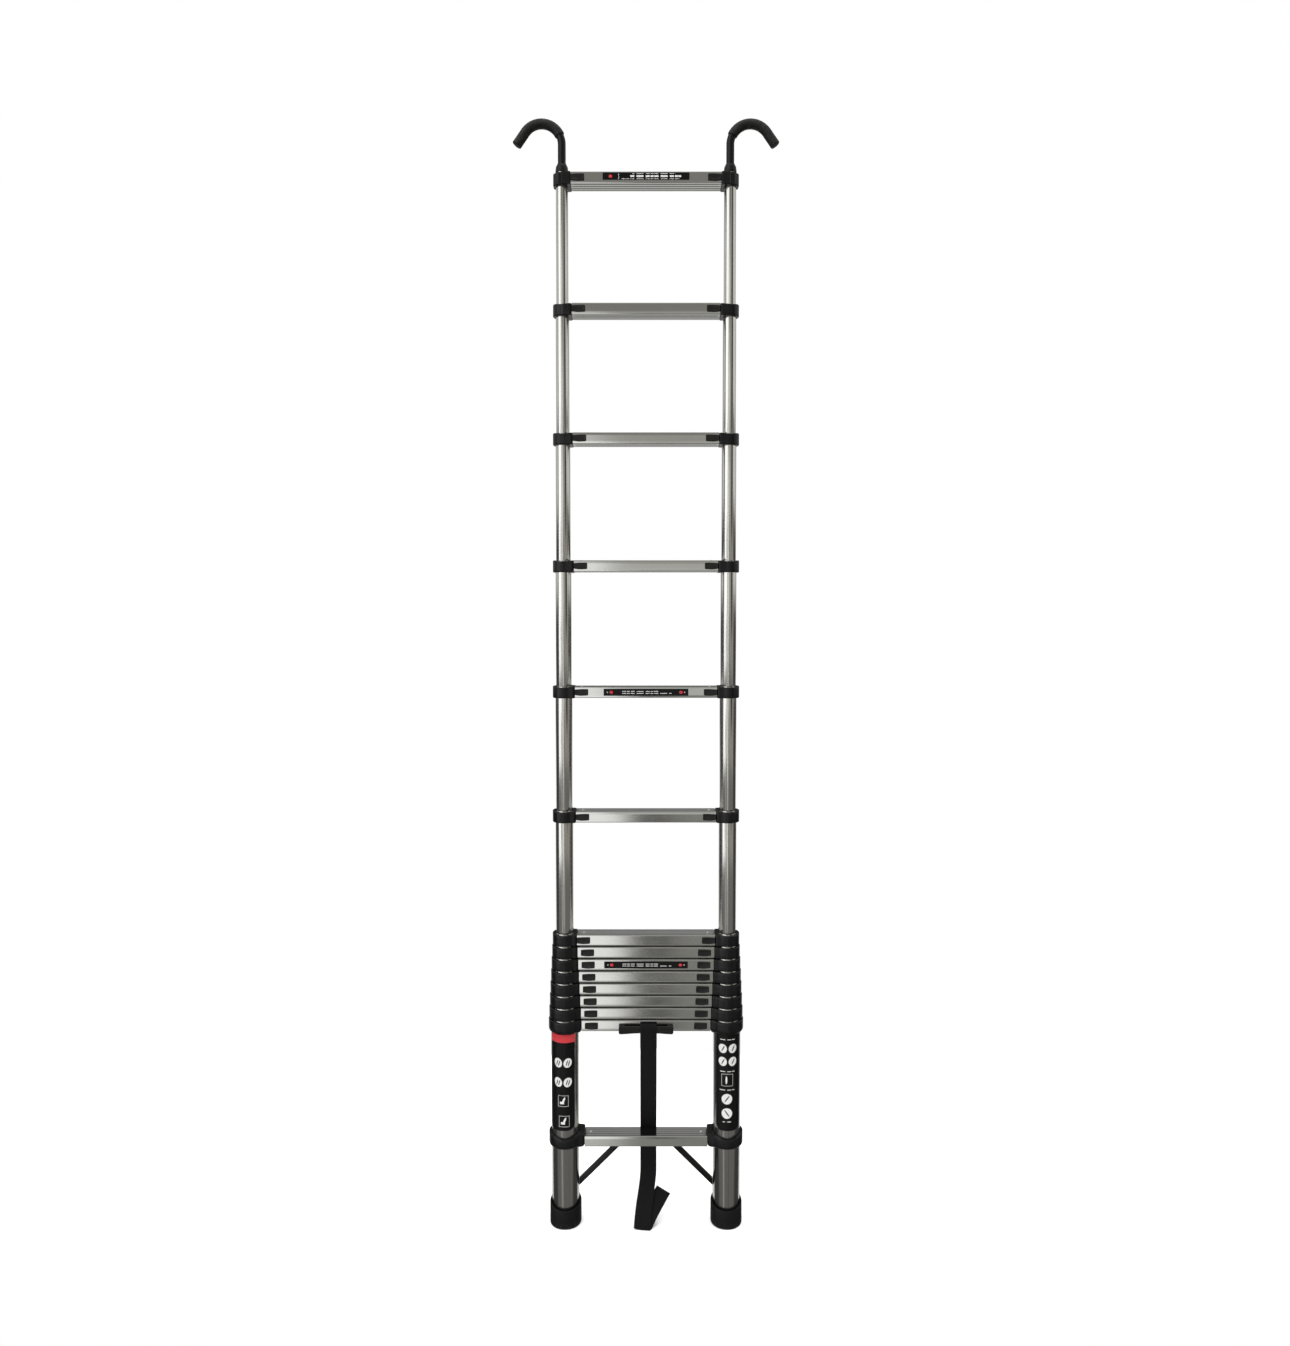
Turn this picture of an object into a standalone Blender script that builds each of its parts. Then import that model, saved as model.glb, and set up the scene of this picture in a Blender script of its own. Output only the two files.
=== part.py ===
"""A telescopic ladder: fourteen nested pairs of tubes, each pair with its own rung.

The base pair stands in rubber feet and also carries a lower rung on two braces. Each further
section is a frame of two tubes, two collars and a hollow rung, and slides inside the one below.
Sections up to CLOSED_SECTIONS stand stacked, the others are drawn out to full height. A latch
at each end of each rung slides a pin towards the tube of the next section. Two padded hooks
swivel in sockets on top.

Metres, +Z up, ladder facing -Y. The origin is on the ground, midway between the tubes.
"""

import math

import bmesh
import bpy
from mathutils import Matrix, Vector

# Sections and how they stand
SECTION_COUNT = 14
CLOSED_SECTIONS = 8
BASE_RUNG_HEIGHT = 0.500
LOWER_RUNG_HEIGHT = 0.213
RUNG_RISE = 0.300
STACK_PITCH = 0.030

# Tubes
TUBE_SPACING = 0.395
TOP_TUBE_RADIUS = 0.014
TUBE_STEP = 0.0015
TUBE_WALL = 0.0011
TUBE_OVERLAP = 0.090
TUBE_SIDES = 20
TOP_STUB = 0.0093

# Collars, with the block that holds the end of the rung
COLLAR_HEIGHT = 0.0294
COLLAR_WALL = 0.0065
COLLAR_LIP = 0.0020
BLOCK_REACH = 0.0075
LOWER_BLOCK_REACH = 0.0140
BLOCK_MARGIN = 0.0012
BLOCK_RECESS = 0.0003
PLUG_LENGTH = 0.0070

# Rungs
RUNG_HEIGHT = 0.027
RUNG_DEPTH = 0.046
RUNG_WALL = 0.0016
RUNG_INSERT = 0.0040

# Latches: a button on the front, a neck through a slot and a pin inside the rung
BUTTON_LENGTH = 0.032
BUTTON_HEIGHT = 0.015
BUTTON_THICKNESS = 0.0032
BUTTON_BEVEL = 0.0012
LATCH_TRAVEL = 0.008
LATCH_LIP = 0.0010
NECK_HEIGHT = 0.0065
PIN_RADIUS = 0.004
PIN_SIDES = 12

# Feet
SOLE_THICKNESS = 0.010
FOOT_WALL = 0.005
FOOT_FRONT_HEIGHT = 0.046
FOOT_BACK_HEIGHT = 0.066
FOOT_EDGE = 0.006

# Braces under the lower rung
BRACE_REACH = 0.106
BRACE_WIDTH = 0.012
BRACE_DEPTH = 0.014

# Hooks and their sockets
SOCKET_RADIUS = 0.0125
SOCKET_TOP_RADIUS = 0.0108
SOCKET_TAPER = 0.005
SOCKET_HEIGHT = 0.0145
SOCKET_INSERT = 0.016
SOCKET_FLOOR = 0.003
HOOK_RADIUS = 0.0093
HOOK_SHANK = 0.061
HOOK_BEND = 0.047
HOOK_TURN = math.radians(145)
HOOK_TAIL = 0.036
SLEEVE_RADIUS = 0.0117
SLEEVE_START = math.radians(25)
SLEEVE_EDGE = 0.0008
SLEEVE_END_ROUND = 0.003
HOOK_ARC_STEPS = 10

# Carry handle on the base rung
HANDLE_LENGTH = 0.132
HANDLE_TOP = 0.002
HANDLE_HEIGHT = 0.0175
HANDLE_ARCH = 0.004
HANDLE_KNOB = 0.016
HANDLE_DEPTH = 0.0094
HANDLE_STANDOFF = 0.0045
HANDLE_PAD = 0.014

# Carry strap, through the handle, behind the lower rung and down to the ground
STRAP_WIDTH = 0.040
STRAP_THICKNESS = 0.002
STRAP_OFFSET = 0.006
STRAP_DRIFT = 0.0155
STRAP_DRIFT_HEIGHT = 0.125
STRAP_END_FRONT = 0.038
STRAP_TAIL_HEIGHT = 0.100
STRAP_TAIL_LEAN = 0.57
STRAP_STEPS = 5

# Gap between pieces that touch or slide
CLEARANCE = 0.0003

# Name, colour, roughness and metallic value
STEEL = ("steel", (0.62, 0.61, 0.58), 0.28, 1.0)
RUNG_METAL = ("rung_metal", (0.60, 0.60, 0.57), 0.38, 1.0)
BLACK_PLASTIC = ("black_plastic", (0.020, 0.020, 0.022), 0.45, 0.0)
BLACK_RUBBER = ("black_rubber", (0.018, 0.018, 0.018), 0.75, 0.0)
BLACK_PAINT = ("black_paint", (0.015, 0.015, 0.015), 0.35, 0.0)
BLACK_WEBBING = ("black_webbing", (0.016, 0.016, 0.018), 0.85, 0.0)

SIDES = {"left": -1, "right": 1}
HALF_SPACING = TUBE_SPACING / 2
TUBE_BELOW_RUNG = RUNG_RISE + TUBE_OVERLAP
PIN_BORE_RADIUS = PIN_RADIUS + CLEARANCE


def tube_radius(section):
    """Outer radius of a section's tubes: each one fits inside the one below."""
    return TOP_TUBE_RADIUS + TUBE_STEP * (SECTION_COUNT - section)


def rung_height(section):
    """Height of a section's rung: stacked up to CLOSED_SECTIONS, then one rise apart."""
    stacked = min(section, CLOSED_SECTIONS) - 1
    raised = max(section - CLOSED_SECTIONS, 0)
    return BASE_RUNG_HEIGHT + stacked * STACK_PITCH + raised * RUNG_RISE


def block_face(section, reach=BLOCK_REACH):
    """Distance from the middle plane to the face where the rung leaves the collar."""
    return HALF_SPACING - tube_radius(section) - reach


def make_collection(name):
    collection = bpy.data.collections.new(name)
    bpy.context.scene.collection.children.link(collection)
    return collection


def dress(piece, finish):
    """Gives a piece a Principled material of its own."""
    name, colour, roughness, metallic = finish
    material = bpy.data.materials.new(piece.name + "_" + name)
    material.use_nodes = True
    shader = material.node_tree.nodes["Principled BSDF"]
    shader.inputs["Base Color"].default_value = (*colour, 1.0)
    shader.inputs["Roughness"].default_value = roughness
    shader.inputs["Metallic"].default_value = metallic
    piece.data.materials.clear()
    piece.data.materials.append(material)


def place(piece, location, parent=None):
    piece.location = location
    if parent:
        piece.parent = parent


def finish_piece(piece, finish, smooth_angle=35):
    dress(piece, finish)
    piece.data.shade_smooth()
    piece.data.set_sharp_from_angle(angle=math.radians(smooth_angle))
    return piece


def mesh_object(name, mesh):
    piece = bpy.data.objects.new(name, mesh)
    parts.objects.link(piece)
    return piece


def from_bmesh(name, shape):
    mesh = bpy.data.meshes.new(name)
    shape.to_mesh(mesh)
    shape.free()
    return mesh_object(name, mesh)


def box(name, low, high):
    """A box between two corners."""
    low, high = Vector(low), Vector(high)
    shape = bmesh.new()
    bmesh.ops.create_cube(shape, size=1.0)
    bmesh.ops.scale(shape, vec=high - low, verts=shape.verts)
    bmesh.ops.translate(shape, vec=(low + high) / 2, verts=shape.verts)
    return from_bmesh(name, shape)


def rod(name, radius, start, end, axis="Z", across=(0.0, 0.0), sides=TUBE_SIDES):
    """A cylinder from start to end along Z or X, across being its place on the other two axes."""
    shape = bmesh.new()
    bmesh.ops.create_cone(
        shape, cap_ends=True, segments=sides, radius1=radius, radius2=radius, depth=abs(end - start)
    )
    middle = (start + end) / 2
    if axis == "X":
        turn = Matrix.Rotation(math.pi / 2, 4, "Y")
        bmesh.ops.transform(shape, matrix=turn, verts=shape.verts)
        centre = (middle, *across)
    else:
        centre = (*across, middle)
    bmesh.ops.translate(shape, vec=centre, verts=shape.verts)
    return from_bmesh(name, shape)


def turned(name, profile):
    """A solid turned about Z from (radius, height) points that run down the outer side."""
    mesh = bpy.data.meshes.new(name)
    edges = [(i, i + 1) for i in range(len(profile) - 1)]
    mesh.from_pydata([(radius, 0.0, height) for radius, height in profile], edges, [])
    piece = mesh_object(name, mesh)
    screw = piece.modifiers.new("turn", "SCREW")
    screw.steps = screw.render_steps = TUBE_SIDES
    screw.use_merge_vertices = True
    screw.merge_threshold = 0.00005
    return piece


def evaluated_copy(piece):
    """The mesh of a piece with its modifiers done and its doubled points merged."""
    bpy.context.view_layer.update()
    graph = bpy.context.evaluated_depsgraph_get()
    mesh = bpy.data.meshes.new_from_object(piece.evaluated_get(graph))
    shape = bmesh.new()
    shape.from_mesh(mesh)
    bmesh.ops.remove_doubles(shape, verts=shape.verts, dist=0.000005)
    bmesh.ops.recalc_face_normals(shape, faces=shape.faces)
    shape.to_mesh(mesh)
    shape.free()
    return mesh


def curve_to_mesh(name, curve_object):
    """Replaces a curve by a mesh object with its caps welded on."""
    piece = mesh_object(name, evaluated_copy(curve_object))
    piece.matrix_world = curve_object.matrix_world
    bpy.data.objects.remove(curve_object)
    return piece


def outline_solid(name, points, thickness):
    """A flat XZ outline given a thickness, half of it on each side of Y = 0."""
    curve = bpy.data.curves.new(name + "_outline", "CURVE")
    curve.dimensions = "2D"
    curve.fill_mode = "BOTH"
    curve.extrude = thickness / 2
    spline = curve.splines.new("POLY")
    spline.points.add(len(points) - 1)
    for point, (x, z) in zip(spline.points, points):
        point.co = (x, z, 0.0, 1.0)
    spline.use_cyclic_u = True
    guide = mesh_object(name + "_outline", curve)
    piece = curve_to_mesh(name, guide)
    piece.data.transform(Matrix.Rotation(math.pi / 2, 4, "X"))
    return piece


def combine(piece, operation, tools):
    """Joins tools to a piece, or cuts them from it, and removes them."""
    for tool in tools:
        step = piece.modifiers.new(operation.lower(), "BOOLEAN")
        step.operation = operation
        step.solver = "EXACT"
        step.object = tool
    mesh = evaluated_copy(piece)
    piece.modifiers.clear()
    piece.data = mesh
    for tool in tools:
        bpy.data.objects.remove(tool)
    return piece


def rung_bar(name, half_length, hollow_half_length):
    """A rung along X with its hollow, which runs out of both ends where it is the longer."""
    half_depth, half_height = RUNG_DEPTH / 2, RUNG_HEIGHT / 2
    bar = box(name, (-half_length, -half_depth, -half_height), (half_length, half_depth, half_height))
    inner_depth, inner_height = half_depth - RUNG_WALL, half_height - RUNG_WALL
    hollow = box(
        "hollow",
        (-hollow_half_length, -inner_depth, -inner_height),
        (hollow_half_length, inner_depth, inner_height),
    )
    return bar, hollow


def along(side, near, far):
    """The lower and upper of two distances from the middle plane, on one side of it."""
    return sorted((side * near, side * far))


def collar_block(side, face, near_tube, height):
    """The block of a collar that reaches from beside the tube to the end of the rung."""
    low, high = along(side, face, near_tube)
    half_depth = RUNG_DEPTH / 2 + BLOCK_MARGIN
    return box("block", (low, -half_depth, -height / 2), (high, half_depth, height / 2))


def collar_plug(side, face):
    """The end of a collar's block that fits inside the hollow of a separate rung."""
    low, high = along(side, face - PLUG_LENGTH, face + RUNG_INSERT)
    half_depth = RUNG_DEPTH / 2 - RUNG_WALL - CLEARANCE
    half_height = RUNG_HEIGHT / 2 - RUNG_WALL - CLEARANCE
    return box("plug", (low, -half_depth, -half_height), (high, half_depth, half_height))


def neck_span(face):
    """Inner and outer end of a locked latch's neck, as distances from the middle plane."""
    outer = face - CLEARANCE - LATCH_TRAVEL - LATCH_LIP
    inner = outer - (BUTTON_LENGTH - 2 * LATCH_TRAVEL - 2 * LATCH_LIP)
    return inner, outer


def slot_cutter(side, face):
    """The slot in a rung's front wall that a latch's neck slides in."""
    inner, outer = neck_span(face)
    low, high = along(side, inner - LATCH_TRAVEL - CLEARANCE, outer + CLEARANCE)
    half_height = NECK_HEIGHT / 2 + CLEARANCE
    front = -RUNG_DEPTH / 2
    return box("slot", (low, 2 * front, -half_height), (high, front + 1.5 * RUNG_WALL, half_height))


def pin_cutter(side, section):
    """The bore from the hollow of the rung into the tube, for the latch's pin."""
    start, end = along(
        side,
        block_face(section) - 1.5 * PLUG_LENGTH,
        HALF_SPACING - tube_radius(section) + 2 * TUBE_WALL,
    )
    return rod("pin_bore", PIN_BORE_RADIUS, start, end, axis="X", sides=PIN_SIDES)


def make_section(section):
    """The frame of a sliding section: two tubes, two collars and a rung, in one piece."""
    radius = tube_radius(section)
    face = block_face(section)
    half_collar = COLLAR_HEIGHT / 2
    top = half_collar + TOP_STUB if section == SECTION_COUNT else half_collar - COLLAR_LIP
    frame, hollow = rung_bar(f"section_{section:02d}", face + RUNG_INSERT, face - PLUG_LENGTH)
    added, cuts = [], [hollow]
    for side in SIDES.values():
        axis = (side * HALF_SPACING, 0.0)
        added.append(collar_block(side, face, HALF_SPACING - radius / 3, COLLAR_HEIGHT - 2 * BLOCK_RECESS))
        added.append(rod("ring", radius + COLLAR_WALL, -half_collar, half_collar, across=axis))
        added.append(rod("tube", radius, -TUBE_BELOW_RUNG, top, across=axis))
        cuts.append(rod("bore", radius - TUBE_WALL, -2 * TUBE_BELOW_RUNG, 1.0, across=axis))
        cuts.append(pin_cutter(side, section))
        cuts.append(slot_cutter(side, face))
    combine(frame, "UNION", added)
    combine(frame, "DIFFERENCE", cuts)
    place(frame, (0.0, 0.0, rung_height(section)), root)
    return finish_piece(frame, STEEL)


def make_base_tube(name, side):
    """A standing tube of the base, with the hole for its latch's pin."""
    radius = tube_radius(1)
    bottom = SOLE_THICKNESS + CLEARANCE - BASE_RUNG_HEIGHT
    top = COLLAR_HEIGHT / 2 - COLLAR_LIP - CLEARANCE
    axis = (side * HALF_SPACING, 0.0)
    tube = rod(name, radius, bottom, top, across=axis)
    bore = rod("bore", radius - TUBE_WALL, 2 * bottom, 1.0, across=axis)
    combine(tube, "DIFFERENCE", [bore, pin_cutter(side, 1)])
    place(tube, (0.0, 0.0, BASE_RUNG_HEIGHT), root)
    return finish_piece(tube, STEEL)


def make_base_collar(name, side):
    """The collar on the top of a base tube: a ring with a lip over the tube's end."""
    radius = tube_radius(1)
    half_collar = COLLAR_HEIGHT / 2
    axis = (side * HALF_SPACING, 0.0)
    face = block_face(1)
    ring = rod(name, radius + COLLAR_WALL, -half_collar, half_collar, across=axis)
    block = collar_block(side, face, HALF_SPACING - radius / 3, COLLAR_HEIGHT - 2 * BLOCK_RECESS)
    combine(ring, "UNION", [block, collar_plug(side, face)])
    socket = rod("socket", radius + CLEARANCE, -1.0, half_collar - COLLAR_LIP, across=axis)
    mouth = rod("mouth", radius - TUBE_WALL, -1.0, 1.0, across=axis)
    combine(ring, "DIFFERENCE", [socket, mouth, pin_cutter(side, 1)])
    place(ring, (0.0, 0.0, BASE_RUNG_HEIGHT), root)
    return finish_piece(ring, BLACK_PLASTIC)


def make_lower_collar(name, side):
    """The band round a base tube that holds the end of the lower rung."""
    radius = tube_radius(1)
    half_collar = COLLAR_HEIGHT / 2
    axis = (side * HALF_SPACING, 0.0)
    face = block_face(1, LOWER_BLOCK_REACH)
    ring = rod(name, radius + COLLAR_WALL, -half_collar, half_collar, across=axis)
    block = collar_block(side, face, HALF_SPACING - radius / 3, COLLAR_HEIGHT - 2 * BLOCK_RECESS)
    combine(ring, "UNION", [block, collar_plug(side, face)])
    combine(ring, "DIFFERENCE", [rod("bore", radius + CLEARANCE, -1.0, 1.0, across=axis)])
    place(ring, (0.0, 0.0, LOWER_RUNG_HEIGHT), root)
    return finish_piece(ring, BLACK_PLASTIC)


def make_fixed_rung(name, height, face, slotted):
    """A rung of the base, between the faces of two collars whose plugs fit inside it."""
    bar, hollow = rung_bar(name, face - CLEARANCE, face + RUNG_INSERT)
    cuts = [hollow]
    if slotted:
        cuts += [slot_cutter(side, face) for side in SIDES.values()]
    combine(bar, "DIFFERENCE", cuts)
    place(bar, (0.0, 0.0, height), root)
    return finish_piece(bar, RUNG_METAL)


def make_foot(name, side):
    """A rubber cap for the end of a base tube, its rim slanting up towards the back."""
    inner = tube_radius(1) + CLEARANCE
    outer = tube_radius(1) + FOOT_WALL
    top = FOOT_BACK_HEIGHT + outer
    profile = [
        (0.0, SOLE_THICKNESS),
        (inner, SOLE_THICKNESS),
        (inner, top),
        (outer, top),
        (outer, FOOT_EDGE),
        (outer - FOOT_EDGE / 3, FOOT_EDGE / 3),
        (outer - FOOT_EDGE, 0.0),
        (0.0, 0.0),
    ]
    foot = turned(name, profile)
    rim = box("rim", (-0.1, -0.1, 0.0), (0.1, 0.1, 0.2))
    slant = math.atan2(FOOT_BACK_HEIGHT - FOOT_FRONT_HEIGHT, 2 * outer)
    rim.rotation_euler.x = slant
    rim.location.z = (FOOT_BACK_HEIGHT + FOOT_FRONT_HEIGHT) / 2
    combine(foot, "DIFFERENCE", [rim])
    place(foot, (side * HALF_SPACING, 0.0, 0.0), root)
    return finish_piece(foot, BLACK_RUBBER)


def make_brace(name, side):
    """A slanting bar from the side of a base tube up to the underside of the lower rung."""
    tube_side = HALF_SPACING - tube_radius(1) - CLEARANCE
    underside = LOWER_RUNG_HEIGHT - RUNG_HEIGHT / 2 - CLEARANCE
    cut = BRACE_WIDTH * math.sqrt(2)
    outline = [
        (tube_side, underside - BRACE_REACH),
        (tube_side, underside - BRACE_REACH + cut),
        (tube_side - BRACE_REACH + cut, underside),
        (tube_side - BRACE_REACH, underside),
    ]
    brace = outline_solid(name, [(side * x, z) for x, z in outline], BRACE_DEPTH)
    brace.parent = root
    return finish_piece(brace, BLACK_PAINT)


def make_latch(name, side, section, parent):
    """A button, its neck through the rung's slot and the pin that slides towards the tube."""
    face = block_face(section)
    front = -RUNG_DEPTH / 2 - CLEARANCE
    neck_inner, neck_outer = neck_span(face)
    tip = HALF_SPACING - tube_radius(section) + TUBE_WALL
    low, high = along(side, face - CLEARANCE - BUTTON_LENGTH, face - CLEARANCE)
    button = box(
        name,
        (low, front - BUTTON_THICKNESS, -BUTTON_HEIGHT / 2),
        (high, front, BUTTON_HEIGHT / 2),
    )
    edge = button.modifiers.new("edge", "BEVEL")
    edge.width = BUTTON_BEVEL
    edge.segments = 1
    low, high = along(side, neck_inner, neck_outer)
    neck = box("neck", (low, front - BUTTON_THICKNESS / 2, -NECK_HEIGHT / 2), (high, 0.0, NECK_HEIGHT / 2))
    low, high = along(side, neck_inner + LATCH_LIP, tip)
    pin = rod("pin", PIN_RADIUS, low, high, axis="X", sides=PIN_SIDES)
    combine(button, "UNION", [neck, pin])
    origin = Vector((side * tip, 0.0, 0.0))
    button.data.transform(Matrix.Translation(-origin))
    pushed_in = section < CLOSED_SECTIONS
    slid = Vector((-side * LATCH_TRAVEL, 0.0, 0.0)) if pushed_in else Vector()
    place(button, origin + slid, parent)
    return finish_piece(button, BLACK_PLASTIC)


def make_socket(name, side, parent):
    """The plug in the end of a top tube that a hook turns in."""
    rim = COLLAR_HEIGHT / 2 + TOP_STUB
    top = rim + SOCKET_HEIGHT
    bottom = rim - SOCKET_INSERT
    bore = HOOK_RADIUS + CLEARANCE
    profile = [
        (0.0, bottom + SOCKET_FLOOR),
        (bore, bottom + SOCKET_FLOOR),
        (bore, top),
        (SOCKET_TOP_RADIUS, top),
        (SOCKET_RADIUS, top - SOCKET_TAPER),
        (SOCKET_RADIUS, bottom),
        (0.0, bottom),
    ]
    socket = turned(name, profile)
    place(socket, (side * HALF_SPACING, 0.0, 0.0), parent)
    return finish_piece(socket, BLACK_PLASTIC)


def hook_path(side):
    """Points of a hook's middle line with its radius there, up the shank and round the bend."""
    rim = COLLAR_HEIGHT / 2 + TOP_STUB
    foot = rim - SOCKET_INSERT + SOCKET_FLOOR + CLEARANCE
    bend_height = rim + HOOK_SHANK

    def on_bend(turn):
        out = HOOK_BEND * (1 - math.cos(turn))
        return out, bend_height + HOOK_BEND * math.sin(turn)

    path = [((0.0, foot), HOOK_RADIUS), ((0.0, bend_height), HOOK_RADIUS)]
    path.append((on_bend(SLEEVE_START - SLEEVE_EDGE / HOOK_BEND), HOOK_RADIUS))
    for step in range(HOOK_ARC_STEPS + 1):
        turn = SLEEVE_START + (HOOK_TURN - SLEEVE_START) * step / HOOK_ARC_STEPS
        path.append((on_bend(turn), SLEEVE_RADIUS))
    end_out, end_height = on_bend(HOOK_TURN)
    for run, radius in (
        (HOOK_TAIL - SLEEVE_END_ROUND, SLEEVE_RADIUS),
        (HOOK_TAIL - SLEEVE_END_ROUND / 3, SLEEVE_RADIUS - SLEEVE_END_ROUND / 4),
        (HOOK_TAIL, SLEEVE_RADIUS - SLEEVE_END_ROUND),
    ):
        place_on_tail = (
            end_out + run * math.sin(HOOK_TURN),
            end_height + run * math.cos(HOOK_TURN),
        )
        path.append((place_on_tail, radius))
    return [((side * out, 0.0, height), radius) for (out, height), radius in path]


def make_hook(name, side, parent):
    """A bent steel hook with the padded sleeve over its bend and tail."""
    curve = bpy.data.curves.new(name + "_path", "CURVE")
    curve.dimensions = "3D"
    curve.bevel_depth = HOOK_RADIUS
    curve.bevel_resolution = 4
    curve.use_fill_caps = True
    path = hook_path(side)
    spline = curve.splines.new("POLY")
    spline.points.add(len(path) - 1)
    for point, (where, radius) in zip(spline.points, path):
        point.co = (*where, 1.0)
        point.radius = radius / HOOK_RADIUS
    hook = curve_to_mesh(name, mesh_object(name + "_path", curve))
    place(hook, (side * HALF_SPACING, 0.0, 0.0), parent)
    return finish_piece(hook, BLACK_PAINT)


def handle_faces():
    """Y of the handle bar's back and front: it stands clear of the base rung for the strap."""
    back = -RUNG_DEPTH / 2 - CLEARANCE - HANDLE_STANDOFF
    return back, back - HANDLE_DEPTH


def make_handle():
    """The moulded carry handle: an arched bar on two pads against the base rung's front."""
    half = HANDLE_LENGTH / 2
    bottom = HANDLE_TOP - HANDLE_HEIGHT
    back, front = handle_faces()
    arch_half = half - HANDLE_KNOB
    outline = [(-half, bottom + HANDLE_ARCH / 2), (-half + HANDLE_ARCH / 2, bottom)]
    arch_steps = 6
    for step in range(arch_steps + 1):
        across = -1 + 2 * step / arch_steps
        rise = HANDLE_ARCH * (1 - across**2)
        outline.append((across * arch_half, bottom + rise))
    outline += [(half - HANDLE_ARCH / 2, bottom), (half, bottom + HANDLE_ARCH / 2)]
    outline += [(half, HANDLE_TOP), (-half, HANDLE_TOP)]
    handle = outline_solid("carry_handle", outline, HANDLE_DEPTH)
    handle.data.transform(Matrix.Translation((0.0, (front + back) / 2, 0.0)))
    pads = []
    for side in SIDES.values():
        low, high = along(side, half - HANDLE_PAD, half - HANDLE_ARCH / 2)
        pads.append(
            box(
                "pad",
                (low, front + HANDLE_DEPTH / 2, bottom + HANDLE_ARCH),
                (high, -RUNG_DEPTH / 2 - CLEARANCE, HANDLE_TOP - HANDLE_ARCH / 4),
            )
        )
    combine(handle, "UNION", pads)
    place(handle, (0.0, 0.0, BASE_RUNG_HEIGHT), root)
    return finish_piece(handle, BLACK_PLASTIC)


def smooth_path(points, steps):
    """A smooth curve through points, steps places from each to the next (Catmull-Rom)."""
    ends = [2 * points[0] - points[1], *points, 2 * points[-1] - points[-2]]
    path = []
    for before, start, end, after in zip(ends, ends[1:], ends[2:], ends[3:]):
        for step in range(steps):
            t = step / steps
            path.append(
                0.5
                * (
                    2 * start
                    + (end - before) * t
                    + (2 * before - 5 * start + 4 * end - after) * t**2
                    + (3 * start - before - 3 * end + after) * t**3
                )
            )
    path.append(points[-1])
    return path


def ribbon(name, path, drift):
    """A flat strap along a (y, z) path: its cross-section outline, as wide as the strap in X."""
    near, far = [], []
    for index, point in enumerate(path):
        ahead = path[min(index + 1, len(path) - 1)]
        behind = path[max(index - 1, 0)]
        run = (ahead - behind).normalized()
        offset = Vector((-run.y, run.x)) * STRAP_THICKNESS / 2
        near.append(point + offset)
        far.append(point - offset)
    strip = outline_solid(name, [tuple(point) for point in near + far[::-1]], STRAP_WIDTH)
    strip.data.transform(Matrix.Rotation(math.pi / 2, 4, "Z"))
    for vertex in strip.data.vertices:
        vertex.co.x += drift(vertex.co.z)
    return strip


def strap_route():
    """The strap's middle line as (y, z): over the handle, behind the lower rung, to the ground."""
    back, front = handle_faces()
    half = STRAP_THICKNESS / 2
    behind_bar = back + HANDLE_STANDOFF / 2
    before_bar = front - CLEARANCE - half
    bar_top = BASE_RUNG_HEIGHT + HANDLE_TOP
    bar_bottom = bar_top - HANDLE_HEIGHT
    loop_radius = (behind_bar - before_bar) / 2
    loop_middle = (behind_bar + before_bar) / 2
    over = [
        Vector(
            (
                loop_middle + loop_radius * math.cos(math.pi * step / 6),
                bar_top + loop_radius * math.sin(math.pi * step / 6),
            )
        )
        for step in range(7)
    ]
    behind_rung = RUNG_DEPTH / 2 + half + 3 * CLEARANCE
    rung_top = LOWER_RUNG_HEIGHT + RUNG_HEIGHT / 2
    rung_bottom = LOWER_RUNG_HEIGHT - RUNG_HEIGHT / 2
    hanging = [
        Vector((before_bar, bar_bottom)),
        Vector((before_bar / 2, (bar_bottom + rung_top) / 2)),
        Vector((behind_rung, rung_top)),
        Vector((behind_rung, rung_bottom)),
        Vector((behind_rung / 2, rung_bottom / 2)),
        Vector((-STRAP_END_FRONT, STRAP_THICKNESS)),
    ]
    start = Vector((behind_bar, bar_bottom + HANDLE_HEIGHT / 3))
    return [start, *over[:-1], *smooth_path([over[-1], *hanging], STRAP_STEPS)]


def make_strap():
    """The carry strap, its end folded up and to the right where it meets the ground."""
    route = strap_route()

    def hang_drift(z):
        below = max(1 - z / STRAP_DRIFT_HEIGHT, 0.0)
        return STRAP_OFFSET - STRAP_DRIFT * below**2 * (3 - 2 * below)

    def tail_drift(z):
        return STRAP_OFFSET - STRAP_DRIFT + STRAP_TAIL_LEAN * z

    strap = ribbon("carry_strap", route, hang_drift)
    lower = [point for point in route[-2 * STRAP_STEPS :] if point.y < STRAP_TAIL_HEIGHT]
    behind = Vector((STRAP_THICKNESS * 0.9, STRAP_THICKNESS / 2))
    tail = ribbon("tail", [point + behind for point in lower], tail_drift)
    combine(strap, "UNION", [tail])
    strap.parent = root
    return finish_piece(strap, BLACK_WEBBING)


for old in list(bpy.data.objects):
    bpy.data.objects.remove(old)

parts = make_collection("telescopic_ladder")
root = mesh_object("ladder_frame", None)

lower_face = block_face(1, LOWER_BLOCK_REACH)
base_rung = make_fixed_rung("base_rung", BASE_RUNG_HEIGHT, block_face(1), slotted=True)
make_fixed_rung("lower_rung", LOWER_RUNG_HEIGHT, lower_face, slotted=False)
for side_name, side_sign in SIDES.items():
    make_base_tube("base_tube_" + side_name, side_sign)
    make_base_collar("base_collar_" + side_name, side_sign)
    make_lower_collar("lower_collar_" + side_name, side_sign)
    make_foot("foot_" + side_name, side_sign)
    make_brace("brace_" + side_name, side_sign)
make_handle()
make_strap()

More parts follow.
